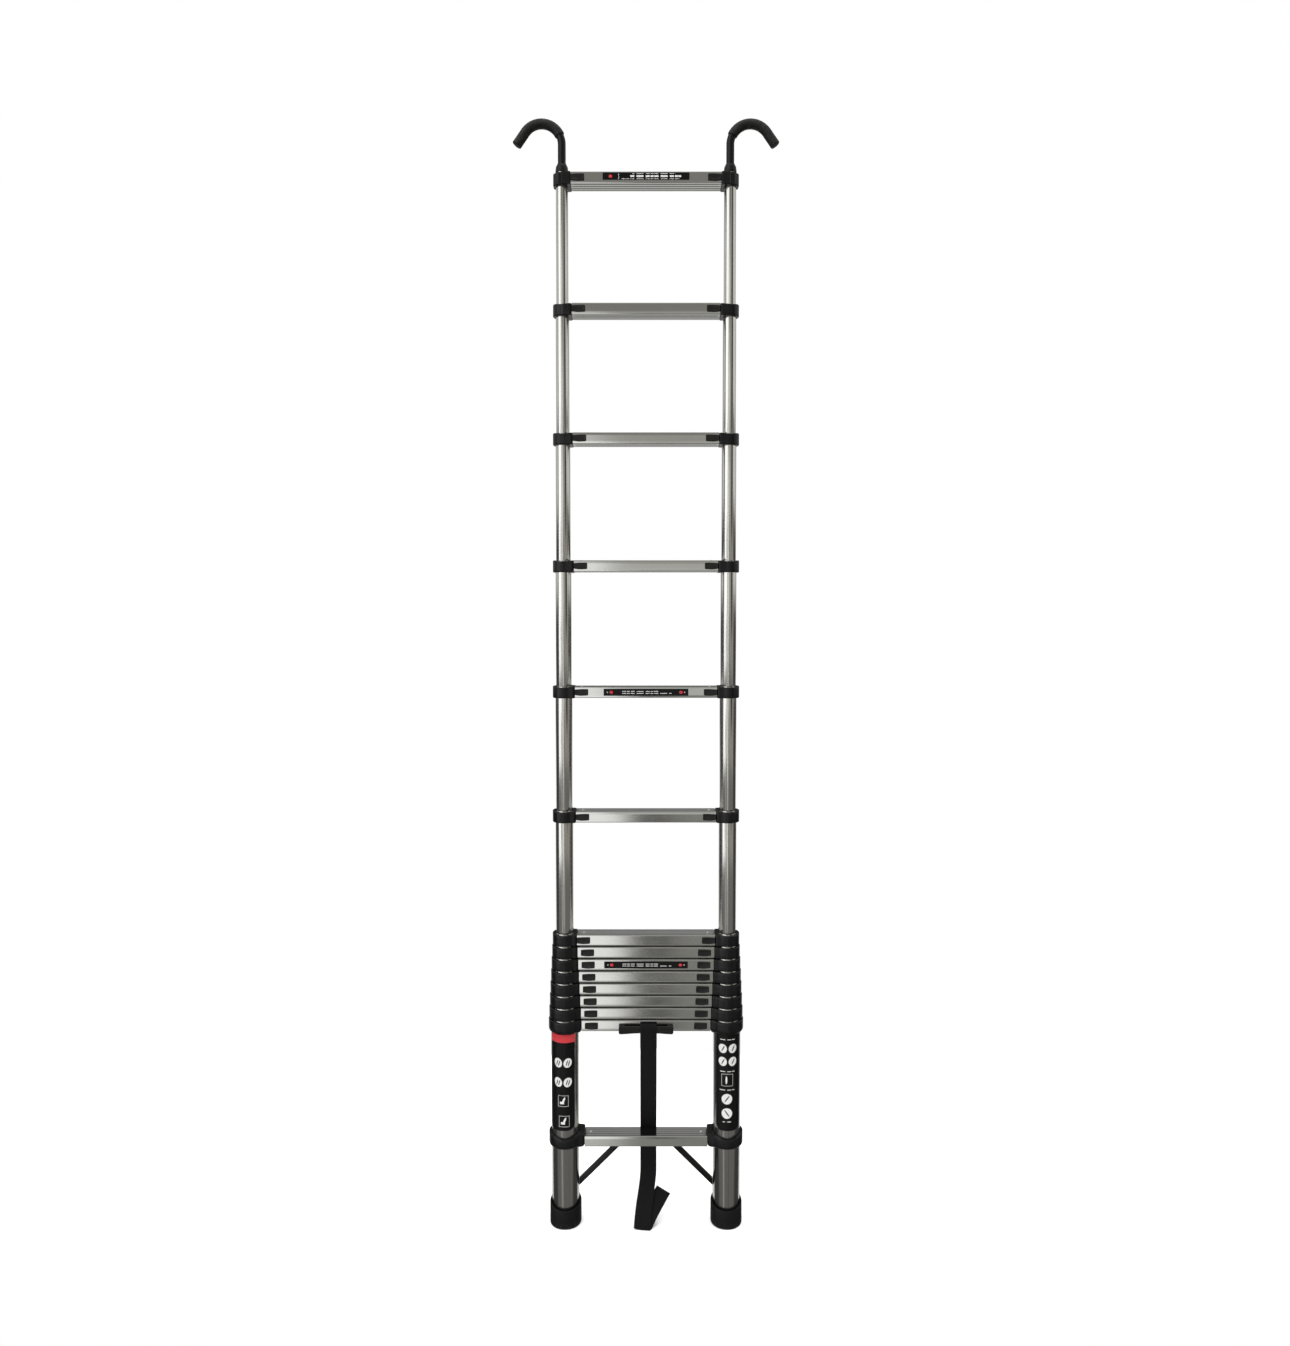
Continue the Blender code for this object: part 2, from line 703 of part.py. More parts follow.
frames = {1: base_rung}
for number in range(2, SECTION_COUNT + 1):
    frames[number] = make_section(number)
for number, section_frame in frames.items():
    for side_name, side_sign in SIDES.items():
        make_latch(f"latch_{number:02d}_{side_name}", side_sign, number, section_frame)
for side_name, side_sign in SIDES.items():
    make_socket("hook_socket_" + side_name, side_sign, frames[SECTION_COUNT])
    make_hook("hook_" + side_name, side_sign, frames[SECTION_COUNT])
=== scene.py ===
"""Looks of a telescopic ladder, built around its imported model.

Each class below is one sub-assembly. It takes its sizes and places from the frame, works out its
surfaces with numpy, dresses them and hands them to the body that they ride on. Metres, +Z up, the
ladder facing -Y.
"""

import logging
import math
from collections.abc import Sequence
from dataclasses import dataclass, field
from enum import Enum

import bpy
import numpy as np
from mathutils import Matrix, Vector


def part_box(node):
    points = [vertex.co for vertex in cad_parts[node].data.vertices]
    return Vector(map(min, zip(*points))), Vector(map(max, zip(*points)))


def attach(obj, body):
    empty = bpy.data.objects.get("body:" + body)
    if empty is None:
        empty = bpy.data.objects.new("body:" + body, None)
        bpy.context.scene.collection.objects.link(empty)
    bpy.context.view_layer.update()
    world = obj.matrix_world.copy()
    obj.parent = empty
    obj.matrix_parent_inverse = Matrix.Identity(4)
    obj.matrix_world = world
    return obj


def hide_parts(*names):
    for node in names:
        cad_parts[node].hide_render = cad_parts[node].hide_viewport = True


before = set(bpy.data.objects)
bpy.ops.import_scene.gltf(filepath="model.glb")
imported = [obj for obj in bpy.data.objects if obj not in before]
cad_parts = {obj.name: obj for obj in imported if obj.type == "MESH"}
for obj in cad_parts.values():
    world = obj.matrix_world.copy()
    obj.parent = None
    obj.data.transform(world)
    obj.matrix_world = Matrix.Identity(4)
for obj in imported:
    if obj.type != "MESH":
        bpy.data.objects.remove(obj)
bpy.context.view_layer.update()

log = logging.getLogger("ladder")
Array = np.ndarray
Corner = tuple[float, float, float]


class Side(Enum):
    """The two sides of the ladder, each with the sign of its X."""

    LEFT = -1
    RIGHT = 1

    @property
    def word(self) -> str:
        """The side as it stands in names."""
        return self.name.lower()


class Grain(Enum):
    """The direction in which a metal is brushed, as the stretch of its streaks along X, Y and Z."""

    ALONG_X = (1.5, 1400.0, 1400.0)
    ALONG_Z = (900.0, 900.0, 1.2)


# ---------------------------------------------------------------------------------------------
# Surfaces
# ---------------------------------------------------------------------------------------------


@dataclass
class Surface:
    """Points, four-sided faces and flat end faces of one closed surface or of several.

    Attributes:
        points: One row of X, Y and Z for each point.
        quads: One row of four point numbers for each four-sided face.
        ends: One row of point numbers for each flat end face.
        chart: One row of two surface coordinates for each point, in metres, or None.
    """

    points: Array
    quads: Array
    ends: list[Array] = field(default_factory=list)
    chart: Array | None = None

    def volume(self) -> float:
        """Six times the volume inside, negative when the faces point inwards."""
        corners = self.points[self.quads]
        first, second, third, fourth = (corners[:, place] for place in range(4))
        total = np.einsum("ij,ij", first, np.cross(second, third))
        total += np.einsum("ij,ij", first, np.cross(third, fourth))
        for ring in self.ends:
            rim = self.points[ring]
            middle = np.broadcast_to(rim.mean(axis=0), rim.shape)
            total += np.einsum("ij,ij", middle, np.cross(rim, np.roll(rim, -1, axis=0)))
        return float(total)

    def outward(self) -> "Surface":
        """The same surface with its faces pointing out."""
        if self.volume() >= 0:
            return self
        return Surface(
            self.points, self.quads[:, ::-1], [ring[::-1] for ring in self.ends], self.chart
        )

    def to_object(self, name: str, sharp_angle: float = 38.0) -> bpy.types.Object:
        """Puts the surface into a mesh object at the origin.

        Args:
            name: The object's name.
            sharp_angle: Edges that turn by more than this, in degrees, stay sharp.

        Returns:
            The new object, linked to the scene.
        """
        used = np.unique(np.concatenate([self.quads.ravel(), *self.ends]))
        renumbered = np.zeros(len(self.points), dtype=int)
        renumbered[used] = np.arange(len(used))
        faces = renumbered[self.quads].tolist() + [renumbered[ring].tolist() for ring in self.ends]
        mesh = bpy.data.meshes.new(name)
        mesh.from_pydata(self.points[used].tolist(), [], faces)
        if self.chart is not None:
            corners = np.empty(len(mesh.loops), dtype=np.int32)
            mesh.loops.foreach_get("vertex_index", corners)
            layer = mesh.uv_layers.new(name="UVMap")
            layer.data.foreach_set("uv", self.chart[used][corners].astype(np.float32).ravel())
        mesh.shade_smooth()
        mesh.set_sharp_from_angle(angle=math.radians(sharp_angle))
        piece = bpy.data.objects.new(name, mesh)
        bpy.context.scene.collection.objects.link(piece)
        return piece


def joined(surfaces: Sequence[Surface]) -> Surface:
    """Several closed surfaces as one.

    Args:
        surfaces: The surfaces, all with a chart or all without one.

    Returns:
        One surface that holds them all.
    """
    starts = np.cumsum([0] + [len(surface.points) for surface in surfaces[:-1]])
    charts = [surface.chart for surface in surfaces]
    return Surface(
        np.concatenate([surface.points for surface in surfaces]),
        np.concatenate([surface.quads + start for surface, start in zip(surfaces, starts)]),
        [ring + start for surface, start in zip(surfaces, starts) for ring in surface.ends],
        None if charts[0] is None else np.concatenate(charts),
    )


def cells_of(index: Array) -> Array:
    """The four-sided cells between neighbouring rows and columns of a grid of point numbers."""
    return np.stack([index[:-1, :-1], index[1:, :-1], index[1:, 1:], index[:-1, 1:]], axis=-1)


def skin(points: Array, ring_of_rows: bool = False, chart: Array | None = None) -> Surface:
    """A closed surface from rings of points: each row is one closed ring.

    Args:
        points: Rows, columns and coordinates of the points.
        ring_of_rows: Joins the last row to the first. Otherwise flat faces close both ends.
        chart: Rows, columns and surface coordinates of the points.

    Returns:
        The surface, with its faces pointing out.
    """
    rows, columns = points.shape[:2]
    index = np.arange(rows * columns).reshape(rows, columns)
    around = np.hstack([index, index[:, :1]])
    if ring_of_rows:
        around = np.vstack([around, around[:1]])
    ends = [] if ring_of_rows else [index[0], index[-1, ::-1]]
    flat_chart = None if chart is None else chart.reshape(-1, 2)
    return Surface(
        points.reshape(-1, 3), cells_of(around).reshape(-1, 4), ends, flat_chart
    ).outward()


def wall(
    outer: Array, inner: Array, wrapped: bool = True, kept: Array | None = None, chart: Array | None = None
) -> Surface:
    """A wall between two matching grids, joined along its rims and around its openings.

    Args:
        outer: Rows, columns and coordinates of the outer face.
        inner: The same for the inner face.
        wrapped: Joins the last column to the first.
        kept: For each cell of the grid, whether it is there. Each other cell is an opening.
        chart: Rows, columns and surface coordinates of both faces.

    Returns:
        The closed surface of the wall.
    """
    rows, columns = outer.shape[:2]
    count = rows * columns
    index = np.arange(count).reshape(rows, columns)
    if wrapped:
        index = np.hstack([index, index[:, :1]])
    cells = cells_of(index)
    cells = cells.reshape(-1, 4) if kept is None else cells[kept]
    edges = np.concatenate([cells[:, [a, (a + 1) % 4]] for a in range(4)])
    lone = ~np.isin(edges[:, 0] * count + edges[:, 1], edges[:, 1] * count + edges[:, 0])
    start, end = edges[lone].T
    rims = np.stack([end, start, start + count, end + count], axis=-1)
    points = np.concatenate([outer.reshape(-1, 3), inner.reshape(-1, 3)])
    both = None if chart is None else np.tile(chart.reshape(-1, 2), (2, 1))
    return Surface(
        points, np.concatenate([cells, cells[:, ::-1] + count, rims]), [], both
    ).outward()


def filleted(corners: Sequence[Corner], closed: bool = True, steps: int = 4) -> Array:
    """An outline whose corners are rounded.

    Each corner with a radius becomes a parabola that leaves one edge and meets the next at that
    distance from the corner.

    Args:
        corners: The two coordinates and the radius of each corner.
        closed: Whether the outline runs back to its start.
        steps: Stretches in each rounded corner.

    Returns:
        One row of two coordinates for each point of the outline.
    """
    places = np.array([corner[:2] for corner in corners])
    t = np.linspace(0.0, 1.0, steps + 1)[:, None]
    outline = []
    for number, (place, (_, _, radius)) in enumerate(zip(places, corners)):
        at_end = not closed and number in (0, len(corners) - 1)
        if radius == 0.0 or at_end:
            outline.append(place[None])
            continue
        before, after = places[number - 1] - place, places[(number + 1) % len(places)] - place
        leave = place + before * radius / np.linalg.norm(before)
        meet = place + after * radius / np.linalg.norm(after)
        outline.append((1 - t) ** 2 * leave + 2 * t * (1 - t) * place + t**2 * meet)
    return np.concatenate(outline)


def turned(profile: Array, centre: Sequence[float], sides: int = 48) -> Surface:
    """A profile turned about a vertical axis: each of its points becomes a circle.

    Args:
        profile: Rows of radius and height.
        centre: The axis' X and Y, and the height that the profile's heights start from.
        sides: Points on each circle.

    Returns:
        The closed surface.
    """
    angle = np.arange(sides) * 2 * math.pi / sides
    radius, height = profile[:, :1], profile[:, 1:]
    points = np.stack(
        [
            centre[0] + radius * np.cos(angle),
            centre[1] + radius * np.sin(angle),
            centre[2] + np.broadcast_to(height, (len(profile), sides)),
        ],
        axis=-1,
    )
    return skin(points)


def layered(outline: Array, levels: Sequence[tuple[float, float]], sign: float = 1.0) -> Surface:
    """An outline stacked in levels, each drawn in a little towards its middle.

    At each level the outline is scaled about its middle so that its box shrinks by the inset.

    Args:
        outline: Rows of X and Z.
        levels: The Y of each level, with its inset.
        sign: Multiplies X, to mirror the piece.

    Returns:
        The closed surface.
    """
    low, high = outline.min(axis=0), outline.max(axis=0)
    middle, half = (low + high) / 2, (high - low) / 2
    across, inset = np.array(levels).T
    shrunk = middle + (outline - middle) * (1 - inset[:, None, None] / half)
    place = np.broadcast_to(across[:, None], shrunk.shape[:2])
    return skin(np.stack((shrunk[..., 0] * sign, place, shrunk[..., 1]), axis=-1))


def smooth_step(value: Array | float) -> Array:
    """Rises smoothly from 0 to 1 as the value goes from 0 to 1, and stays there."""
    held = np.clip(value, 0.0, 1.0)
    return held**2 * (3 - 2 * held)


def smooth_route(points: Sequence[tuple[float, float]], count: int) -> tuple[Array, Array]:
    """A smooth curve through points, at even steps of its length.

    Between two points it is the cubic whose slope at each of them runs parallel to the line
    between that point's neighbours.

    Args:
        points: Two coordinates of each point.
        count: Number of places on the curve.

    Returns:
        The lengths along the curve, and its points there.
    """
    knots = np.array(points)
    ends = np.vstack([2 * knots[0] - knots[1], knots, 2 * knots[-1] - knots[-2]])
    before, start, end, after = ends[:-3, None], ends[1:-2, None], ends[2:-1, None], ends[3:, None]
    t = (np.arange(24) / 24)[None, :, None]
    dense = 0.5 * (
        2 * start
        + (end - before) * t
        + (2 * before - 5 * start + 4 * end - after) * t**2
        + (3 * start - before - 3 * end + after) * t**3
    )
    dense = np.vstack([dense.reshape(-1, 2), knots[-1:]])
    length = np.concatenate([[0.0], np.cumsum(np.linalg.norm(np.diff(dense, axis=0), axis=1))])
    even = np.linspace(0.0, length[-1], count)
    return even, np.stack([np.interp(even, length, dense[:, axis]) for axis in (0, 1)], axis=-1)


# ---------------------------------------------------------------------------------------------
# Shader graphs
# ---------------------------------------------------------------------------------------------


@dataclass(frozen=True)
class Wire:
    """A number in a shader graph. Arithmetic on it adds Math nodes."""

    graph: "Graph"
    socket: bpy.types.NodeSocket

    def math(self, operation: str, *others: "Wire | float", swap: bool = False) -> "Wire":
        """The result of a Math node on this number and others.

        Args:
            operation: The node's operation.
            others: The other inputs.
            swap: Puts the first of the others before this number.

        Returns:
            The node's result.
        """
        values = [self, *others]
        if swap:
            values[:2] = values[1::-1]
        node = self.graph.node("ShaderNodeMath", {"operation": operation}, dict(enumerate(values)))
        return Wire(self.graph, node.outputs[0])

    def __add__(self, other: "Wire | float") -> "Wire":
        """This number plus another."""
        return self.math("ADD", other)

    def __sub__(self, other: "Wire | float") -> "Wire":
        """This number less another."""
        return self.math("SUBTRACT", other)

    def __rsub__(self, other: float) -> "Wire":
        """Another number less this one."""
        return self.math("SUBTRACT", other, swap=True)

    def __mul__(self, other: "Wire | float") -> "Wire":
        """This number times another."""
        return self.math("MULTIPLY", other)

    __radd__ = __add__
    __rmul__ = __mul__

    def __truediv__(self, other: "Wire | float") -> "Wire":
        """This number over another."""
        return self.math("DIVIDE", other)

    def __abs__(self) -> "Wire":
        """This number without its sign."""
        return self.math("ABSOLUTE")

    def below(self, limit: "Wire | float") -> "Wire":
        """1 where this number is under a limit, else 0."""
        return self.math("LESS_THAN", limit)

    def either(self, other: "Wire") -> "Wire":
        """The larger of two masks."""
        return self.math("MAXIMUM", other)

    def sine(self) -> "Wire":
        """The sine of this number in radians."""
        return self.math("SINE")

    def fade(self, start: float, end: float) -> "Wire":
        """Rises smoothly from 0 at the start to 1 at the end."""
        settings = {"interpolation_type": "SMOOTHSTEP"}
        node = self.graph.node(
            "ShaderNodeMapRange", settings, {0: self, 1: start, 2: end, 3: 0.0, 4: 1.0}
        )
        return Wire(self.graph, node.outputs[0])


@dataclass
class Graph:
    """The nodes of one material or world.

    Attributes:
        tree: The node tree, emptied before use.
    """

    tree: bpy.types.NodeTree

    def node(
        self, kind: str, settings: dict | None = None, inputs: dict | None = None
    ) -> bpy.types.Node:
        """Adds a node.

        Args:
            kind: Its type.
            settings: Its properties, set first. "stops" are a ramp's places and colours.
            inputs: Values, wires or sockets for its inputs, by name or number.

        Returns:
            The node.
        """
        node = self.tree.nodes.new(kind)
        for name, value in (settings or {}).items():
            if name == "stops":
                ramp = node.color_ramp
                while len(ramp.elements) < len(value):
                    ramp.elements.new(1.0)
                for element, (place, colour) in zip(ramp.elements, value):
                    element.position = place
                    element.color = (*colour, 1.0)
            else:
                setattr(node, name, value)
        for name, value in (inputs or {}).items():
            source = value.socket if isinstance(value, Wire) else value
            if isinstance(source, bpy.types.NodeSocket):
                self.tree.links.new(source, node.inputs[name])
            elif isinstance(
                source, tuple
            ) and len(source) == 3 and node.inputs[name].type == "RGBA":
                node.inputs[name].default_value = (*source, 1.0)
            else:
                node.inputs[name].default_value = source
        return node

    def place(self, scale: Sequence[float] = (1.0, 1.0, 1.0)) -> bpy.types.NodeSocket:
        """The object's own coordinates, stretched by a scale for each axis."""
        where = self.node("ShaderNodeTexCoord").outputs["Object"]
        mapping = self.node("ShaderNodeMapping", None, {"Vector": where, "Scale": tuple(scale)})
        return mapping.outputs[0]

    def split(self, vector: bpy.types.NodeSocket) -> list[Wire]:
        """The three numbers of a vector."""
        outputs = self.node("ShaderNodeSeparateXYZ", None, {0: vector}).outputs
        return [Wire(self, output) for output in outputs]

    def noise(self, vector: bpy.types.NodeSocket, scale: float, detail: float = 3.0) -> Wire:
        """Noise from 0 to 1 at a place, with so many lumps to the metre."""
        inputs = {"Vector": vector, "Scale": scale, "Detail": detail}
        return Wire(self, self.node("ShaderNodeTexNoise", None, inputs).outputs["Fac"])

    def mix(self, factor: Wire, first: object, second: object) -> bpy.types.NodeSocket:
        """A colour between two others."""
        node = self.node("ShaderNodeMix", {"data_type": "RGBA"}, {0: factor, 6: first, 7: second})
        return node.outputs[2]

    def bump(self, height: Wire, distance: float, strength: float = 1.0) -> bpy.types.NodeSocket:
        """A normal bent by a height from 0 to 1 that stands for a distance in metres."""
        inputs = {"Height": height, "Distance": distance, "Strength": strength}
        return self.node("ShaderNodeBump", None, inputs).outputs[0]


def material_graph(name: str) -> tuple[bpy.types.Material, Graph]:
    """A new material and its empty graph."""
    material = bpy.data.materials.new(name)
    material.use_nodes = True
    material.node_tree.nodes.clear()
    return material, Graph(material.node_tree)


def surface_shader(graph: Graph, inputs: dict) -> None:
    """Ends a material's graph with a Principled shader.

    Args:
        graph: The material's graph.
        inputs: The shader's inputs.
    """
    shader = graph.node("ShaderNodeBsdfPrincipled", None, inputs)
    graph.node("ShaderNodeOutputMaterial", None, {"Surface": shader.outputs[0]})


# ---------------------------------------------------------------------------------------------
# Finishes
# ---------------------------------------------------------------------------------------------


@dataclass(frozen=True)
class BrushedMetal:
    """Metal brushed in one direction, with fine streaks, soft smudges and a few deeper scratches.

    Where it is rolled into a tread, all but its front face is darkened with painted shade.

    Attributes:
        name: Name of the material.
        grain: Direction of the brushing.
        colour: Colour of the metal.
        roughness: Mean roughness.
        streak: How much the streaks change roughness and colour.
        dull_behind: Y behind which the metal carries painted shade, or None.
        dull_share: How bright the part under painted shade is.
        groove_pitch: Distance in Y between the grooves, which carry more painted shade.
    """

    name: str
    grain: Grain
    colour: tuple[float, float, float] = (0.80, 0.79, 0.76)
    roughness: float = 0.13
    streak: float = 0.12
    dull_behind: float | None = None
    dull_share: float = 0.74
    groove_pitch: float = 0.0098

    def material(self) -> bpy.types.Material:
        """Builds the material."""
        made, graph = material_graph(self.name)
        along = graph.place(self.grain.value)
        streaks = graph.noise(along, 1.0, 5.0)
        broad = graph.noise(graph.place([value * 0.12 for value in self.grain.value]), 1.0, 2.0)
        smudge = graph.noise(graph.place(), 14.0, 3.0)
        lines = streaks * 0.6 + broad * 0.4
        scratch = graph.noise(
            graph.place([value * 0.5 for value in self.grain.value]), 1.3, 0.0
        ).fade(0.70, 0.78)
        shade = ((lines - 0.5) * (2.2 * self.streak + 0.1) + 1.0 - scratch * 0.12) * (
            smudge * 0.10 + 0.95
        )
        # Painted shade: the tread, underside and back get a darker base colour than the front face.
        if self.dull_behind is not None:
            y = graph.split(graph.place())[1]
            behind = y.fade(self.dull_behind - 0.0004, self.dull_behind + 0.0004)
            # Painted shade in the grooves, darker than the rest of the tread.
            groove_shade = (y * (2 * math.pi / self.groove_pitch) - math.pi / 2).sine().fade(0.40, 0.75)
            shade = shade * (1.0 - behind * (1.0 - self.dull_share + groove_shade * 0.15))
        tint = graph.node(
            "ShaderNodeVectorMath", {"operation": "SCALE"}, {0: self.colour, "Scale": shade}
        )
        rough = lines * self.streak + (
            self.roughness - self.streak / 2
        ) + smudge * 0.06 + scratch * 0.06
        surface_shader(
            graph,
            {
                "Base Color": tint.outputs[0],
                "Metallic": 1.0,
                "Roughness": rough,
                "Normal": graph.bump(streaks, 0.00003, 0.35),
            },
        )
        return made


@dataclass(frozen=True)
class MouldedPlastic:
    """Black moulded plastic with a fine spark-eroded grain.

    Attributes:
        name: Name of the material.
        colour: Colour of the plastic.
        roughness: Mean roughness.
        grain: Height of the grain in metres.
    """

    name: str
    colour: tuple[float, float, float] = (0.0040, 0.0041, 0.0046)
    roughness: float = 0.31
    grain: float = 0.00004

    def material(self) -> bpy.types.Material:
        """Builds the material."""
        made, graph = material_graph(self.name)
        pores = graph.noise(graph.place(), 1600.0, 2.0)
        handled = graph.noise(graph.place(), 38.0, 3.0)
        pale = tuple(channel * 1.6 + 0.001 for channel in self.colour)
        surface_shader(
            graph,
            {
                "Base Color": graph.mix(handled.fade(0.35, 0.8), self.colour, pale),
                "Roughness": handled * 0.16 + pores * 0.06 + (self.roughness - 0.11),
                "Specular IOR Level": 0.36,
                "Normal": graph.bump(pores, self.grain, 0.4),
            },
        )
        return made


@dataclass(frozen=True)
class BlackRubber:
    """Dull rubber with a grain, paler with dust near the ground."""

    name: str
    colour: tuple[float, float, float] = (0.0050, 0.0050, 0.0053)

    def material(self) -> bpy.types.Material:
        """Builds the material."""
        made, graph = material_graph(self.name)
        height = graph.split(graph.place())[2]
        grain = graph.noise(graph.place(), 900.0, 4.0)
        dust = (
            1.0 - height.fade(0.0, 0.02)
        ) * graph.noise(graph.place(), 120.0, 4.0).fade(0.4, 0.75)
        surface_shader(
            graph,
            {
                "Base Color": graph.mix(dust * 0.4, self.colour, (0.040, 0.038, 0.035)),
                "Roughness": grain * 0.2 + 0.48,
                "Specular IOR Level": 0.25,
                "Normal": graph.bump(grain, 0.00010, 0.5),
            },
        )
        return made


@dataclass(frozen=True)
class FoamSleeve:
    """Closed-cell foam: dull, with a skin of tiny open cells."""

    name: str
    colour: tuple[float, float, float] = (0.0100, 0.0106, 0.0100)

    def material(self) -> bpy.types.Material:
        """Builds the material."""
        made, graph = material_graph(self.name)
        inputs = {"Vector": graph.place(), "Scale": 900.0}
        cells = Wire(graph, graph.node("ShaderNodeTexVoronoi", None, inputs).outputs["Distance"])
        mottle = graph.noise(graph.place(), 160.0, 4.0)
        surface_shader(
            graph,
            {
                "Base Color": graph.mix(
                    mottle.fade(0.35, 0.8), self.colour, (0.0240, 0.0250, 0.0235)
                ),
                "Roughness": mottle * 0.15 + 0.50,
                "Specular IOR Level": 0.30,
                "Normal": graph.bump(cells * 0.7 + mottle * 0.6, 0.00015, 0.4),
            },
        )
        return made


@dataclass(frozen=True)
class SatinPaint:
    """Black powder paint with a slight orange peel and small chips."""

    name: str
    colour: tuple[float, float, float] = (0.0040, 0.0040, 0.0043)

    def material(self) -> bpy.types.Material:
        """Builds the material."""
        made, graph = material_graph(self.name)
        peel = graph.noise(graph.place(), 520.0, 2.0)
        rub = graph.noise(graph.place((1.0, 1.0, 0.35)), 150.0, 5.0).fade(0.66, 0.80)
        surface_shader(
            graph,
            {
                "Base Color": graph.mix(rub * 0.5, self.colour, (0.030, 0.029, 0.028)),
                "Roughness": peel * 0.12 + rub * 0.15 + 0.28,
                "Specular IOR Level": 0.35,
                "Normal": graph.bump(peel, 0.00012, 0.5),
            },
        )
        return made


@dataclass(frozen=True)
class Webbing:
    """Woven polyester webbing: ribs across its width, crossed by the weft, with rolled edges.

    Attributes:
        name: Name of the material.
        rib: Distance between two ribs, in metres.
        pick: Distance between two weft threads, in metres.
        half_width: Half the strap's width, in metres.
    """

    name: str
    rib: float = 0.0018
    pick: float = 0.0022
    half_width: float = 0.020

    def material(self) -> bpy.types.Material:
        """Builds the material from the strap's own width and length coordinates."""
        made, graph = material_graph(self.name)
        chart = graph.node("ShaderNodeTexCoord").outputs["UV"]
        across, along, _ = graph.split(chart)
        ribs = (across * (2 * math.pi / self.rib)).sine()
        picks = (along * (2 * math.pi / self.pick) + ribs * 1.2).sine()
        weave = ribs * 0.28 + picks * 0.22 + 0.5
        edge = abs(across).fade(self.half_width - 0.0035, self.half_width - 0.0015)
        fuzz = graph.noise(chart, 1500.0, 2.0)
        shade = weave * 0.55 + fuzz * 0.35 + edge * 0.15
        surface_shader(
            graph,
            {
                "Base Color": graph.mix(shade, (0.0020, 0.0020, 0.0024), (0.0120, 0.0120, 0.0135)),
                "Roughness": fuzz * 0.15 + 0.72,
                "Specular IOR Level": 0.18,
                "Normal": graph.bump(weave + fuzz * 0.25, 0.0004, 0.7),
            },
        )
        return made


@dataclass(frozen=True)
class Mark:
    """One printed mark on a label: an ellipse, a box, the frame of a box or a row of dashes.

    Attributes:
        kind: "ellipse", "box", "frame" or "dashes".
        across: Place across the label, in metres from its middle.
        up: Height, in metres.
        half: Half its width and half its height.
        red: Whether it is red. Otherwise it is white.
        dark: Whether it is a gap in the marks under it.
        lean: How far it leans, as the shift across for each metre up.
    """

    kind: str
    across: float
    up: float
    half: tuple[float, float]
    red: bool = False
    dark: bool = False
    lean: float = 0.0


@dataclass(frozen=True)
class PrintedLabel:
    """A black glossy label with plain marks.

    Attributes:
        name: Name of the material.
        marks: The marks on it.
        line: Width of a frame's line, in metres.
    """

    name: str
    marks: tuple[Mark, ...]
    line: float = 0.0007

    def mask(self, mark: Mark, across: Wire, up: Wire) -> Wire:
        """1 inside a mark and 0 outside it.

        An ellipse holds where the squares of the two offsets, each over its half size, sum to
        under 1. A box holds where both are under 1, and its frame leaves out a smaller box.
        Dashes are a box that two waves along it break up.

        Args:
            mark: The mark.
            across: Place across the label.
            up: Height on the label.

        Returns:
            The mask.
        """
        rise = up - mark.up
        aside = across - mark.across - rise * mark.lean
        if mark.kind == "ellipse":
            x, y = aside / mark.half[0], rise / mark.half[1]
            return (x * x + y * y).below(1.0)
        box = abs(aside).below(mark.half[0]) * abs(rise).below(mark.half[1])
        if mark.kind == "box":
            return box
        if mark.kind == "dashes":
            wave = (across * 560.0).sine() + (across * 337.0).sine()
            return box * (1.0 - wave.below(-0.75))
        inner = abs(aside).below(mark.half[0] - self.line) * abs(rise).below(
            mark.half[1] - self.line
        )
        return box - inner

    def material(self) -> bpy.types.Material:
        """Builds the material from the label's own coordinates."""
        made, graph = material_graph(self.name)
        chart = graph.node("ShaderNodeTexCoord").outputs["UV"]
        across, up, _ = graph.split(chart)
        worn = graph.noise(chart, 260.0, 4.0)
        colour: object = (0.0035, 0.0035, 0.0038)
        inks = (
            ((False, False), (0.74, 0.74, 0.73)),
            ((True, False), (0.62, 0.045, 0.055)),
            ((False, True), colour),
        )
        for (red, dark), ink in inks:
            masks = [self.mask(mark, across, up) for mark in self.marks if (mark.red, mark.dark) == (red, dark)]
            if not masks:
                continue
            total = masks[0]
            for other in masks[1:]:
                total = total.either(other)
            colour = graph.mix(total * (worn * 0.12 + 0.90), colour, ink)
        surface_shader(
            graph,
            {
                "Base Color": colour,
                "Roughness": worn * 0.16 + 0.24,
                "Specular IOR Level": 0.25,
                "Normal": graph.bump(worn, 0.00004, 0.3),
            },
        )
        return made


TUBE_STEEL = BrushedMetal("tube_steel", Grain.ALONG_Z)
BASE_STEEL = BrushedMetal("base_tube_steel", Grain.ALONG_Z, (0.68, 0.67, 0.65), 0.15, 0.14)
RUNG_METAL = BrushedMetal("rung_metal", Grain.ALONG_X, (0.82, 0.82, 0.80), 0.055, 0.04, -0.0226)
SCREW_STEEL = BrushedMetal("screw_steel", Grain.ALONG_X, (0.85, 0.84, 0.82), 0.16, 0.08)
PIN_STEEL = BrushedMetal("pin_steel", Grain.ALONG_X, (0.70, 0.69, 0.67), 0.22, 0.10)
COLLAR_PLASTIC = MouldedPlastic("collar_plastic")
BUTTON_PLASTIC = MouldedPlastic("button_plastic", (0.0085, 0.0085, 0.0085), 0.32, 0.00004)
HANDLE_PLASTIC = MouldedPlastic("handle_plastic", (0.0042, 0.0042, 0.0045), 0.42, 0.00008)
SOCKET_PLASTIC = MouldedPlastic("socket_plastic", (0.0050, 0.0050, 0.0058), 0.38, 0.00005)
FOOT_RUBBER = BlackRubber("foot_rubber")
HOOK_FOAM = FoamSleeve("hook_foam")
HOOK_PAINT = SatinPaint("hook_paint")
BRACE_PAINT = SatinPaint("brace_paint")
STRAP_WEBBING = Webbing("strap_webbing")

Finish = BrushedMetal | MouldedPlastic | BlackRubber | FoamSleeve | SatinPaint | Webbing | PrintedLabel


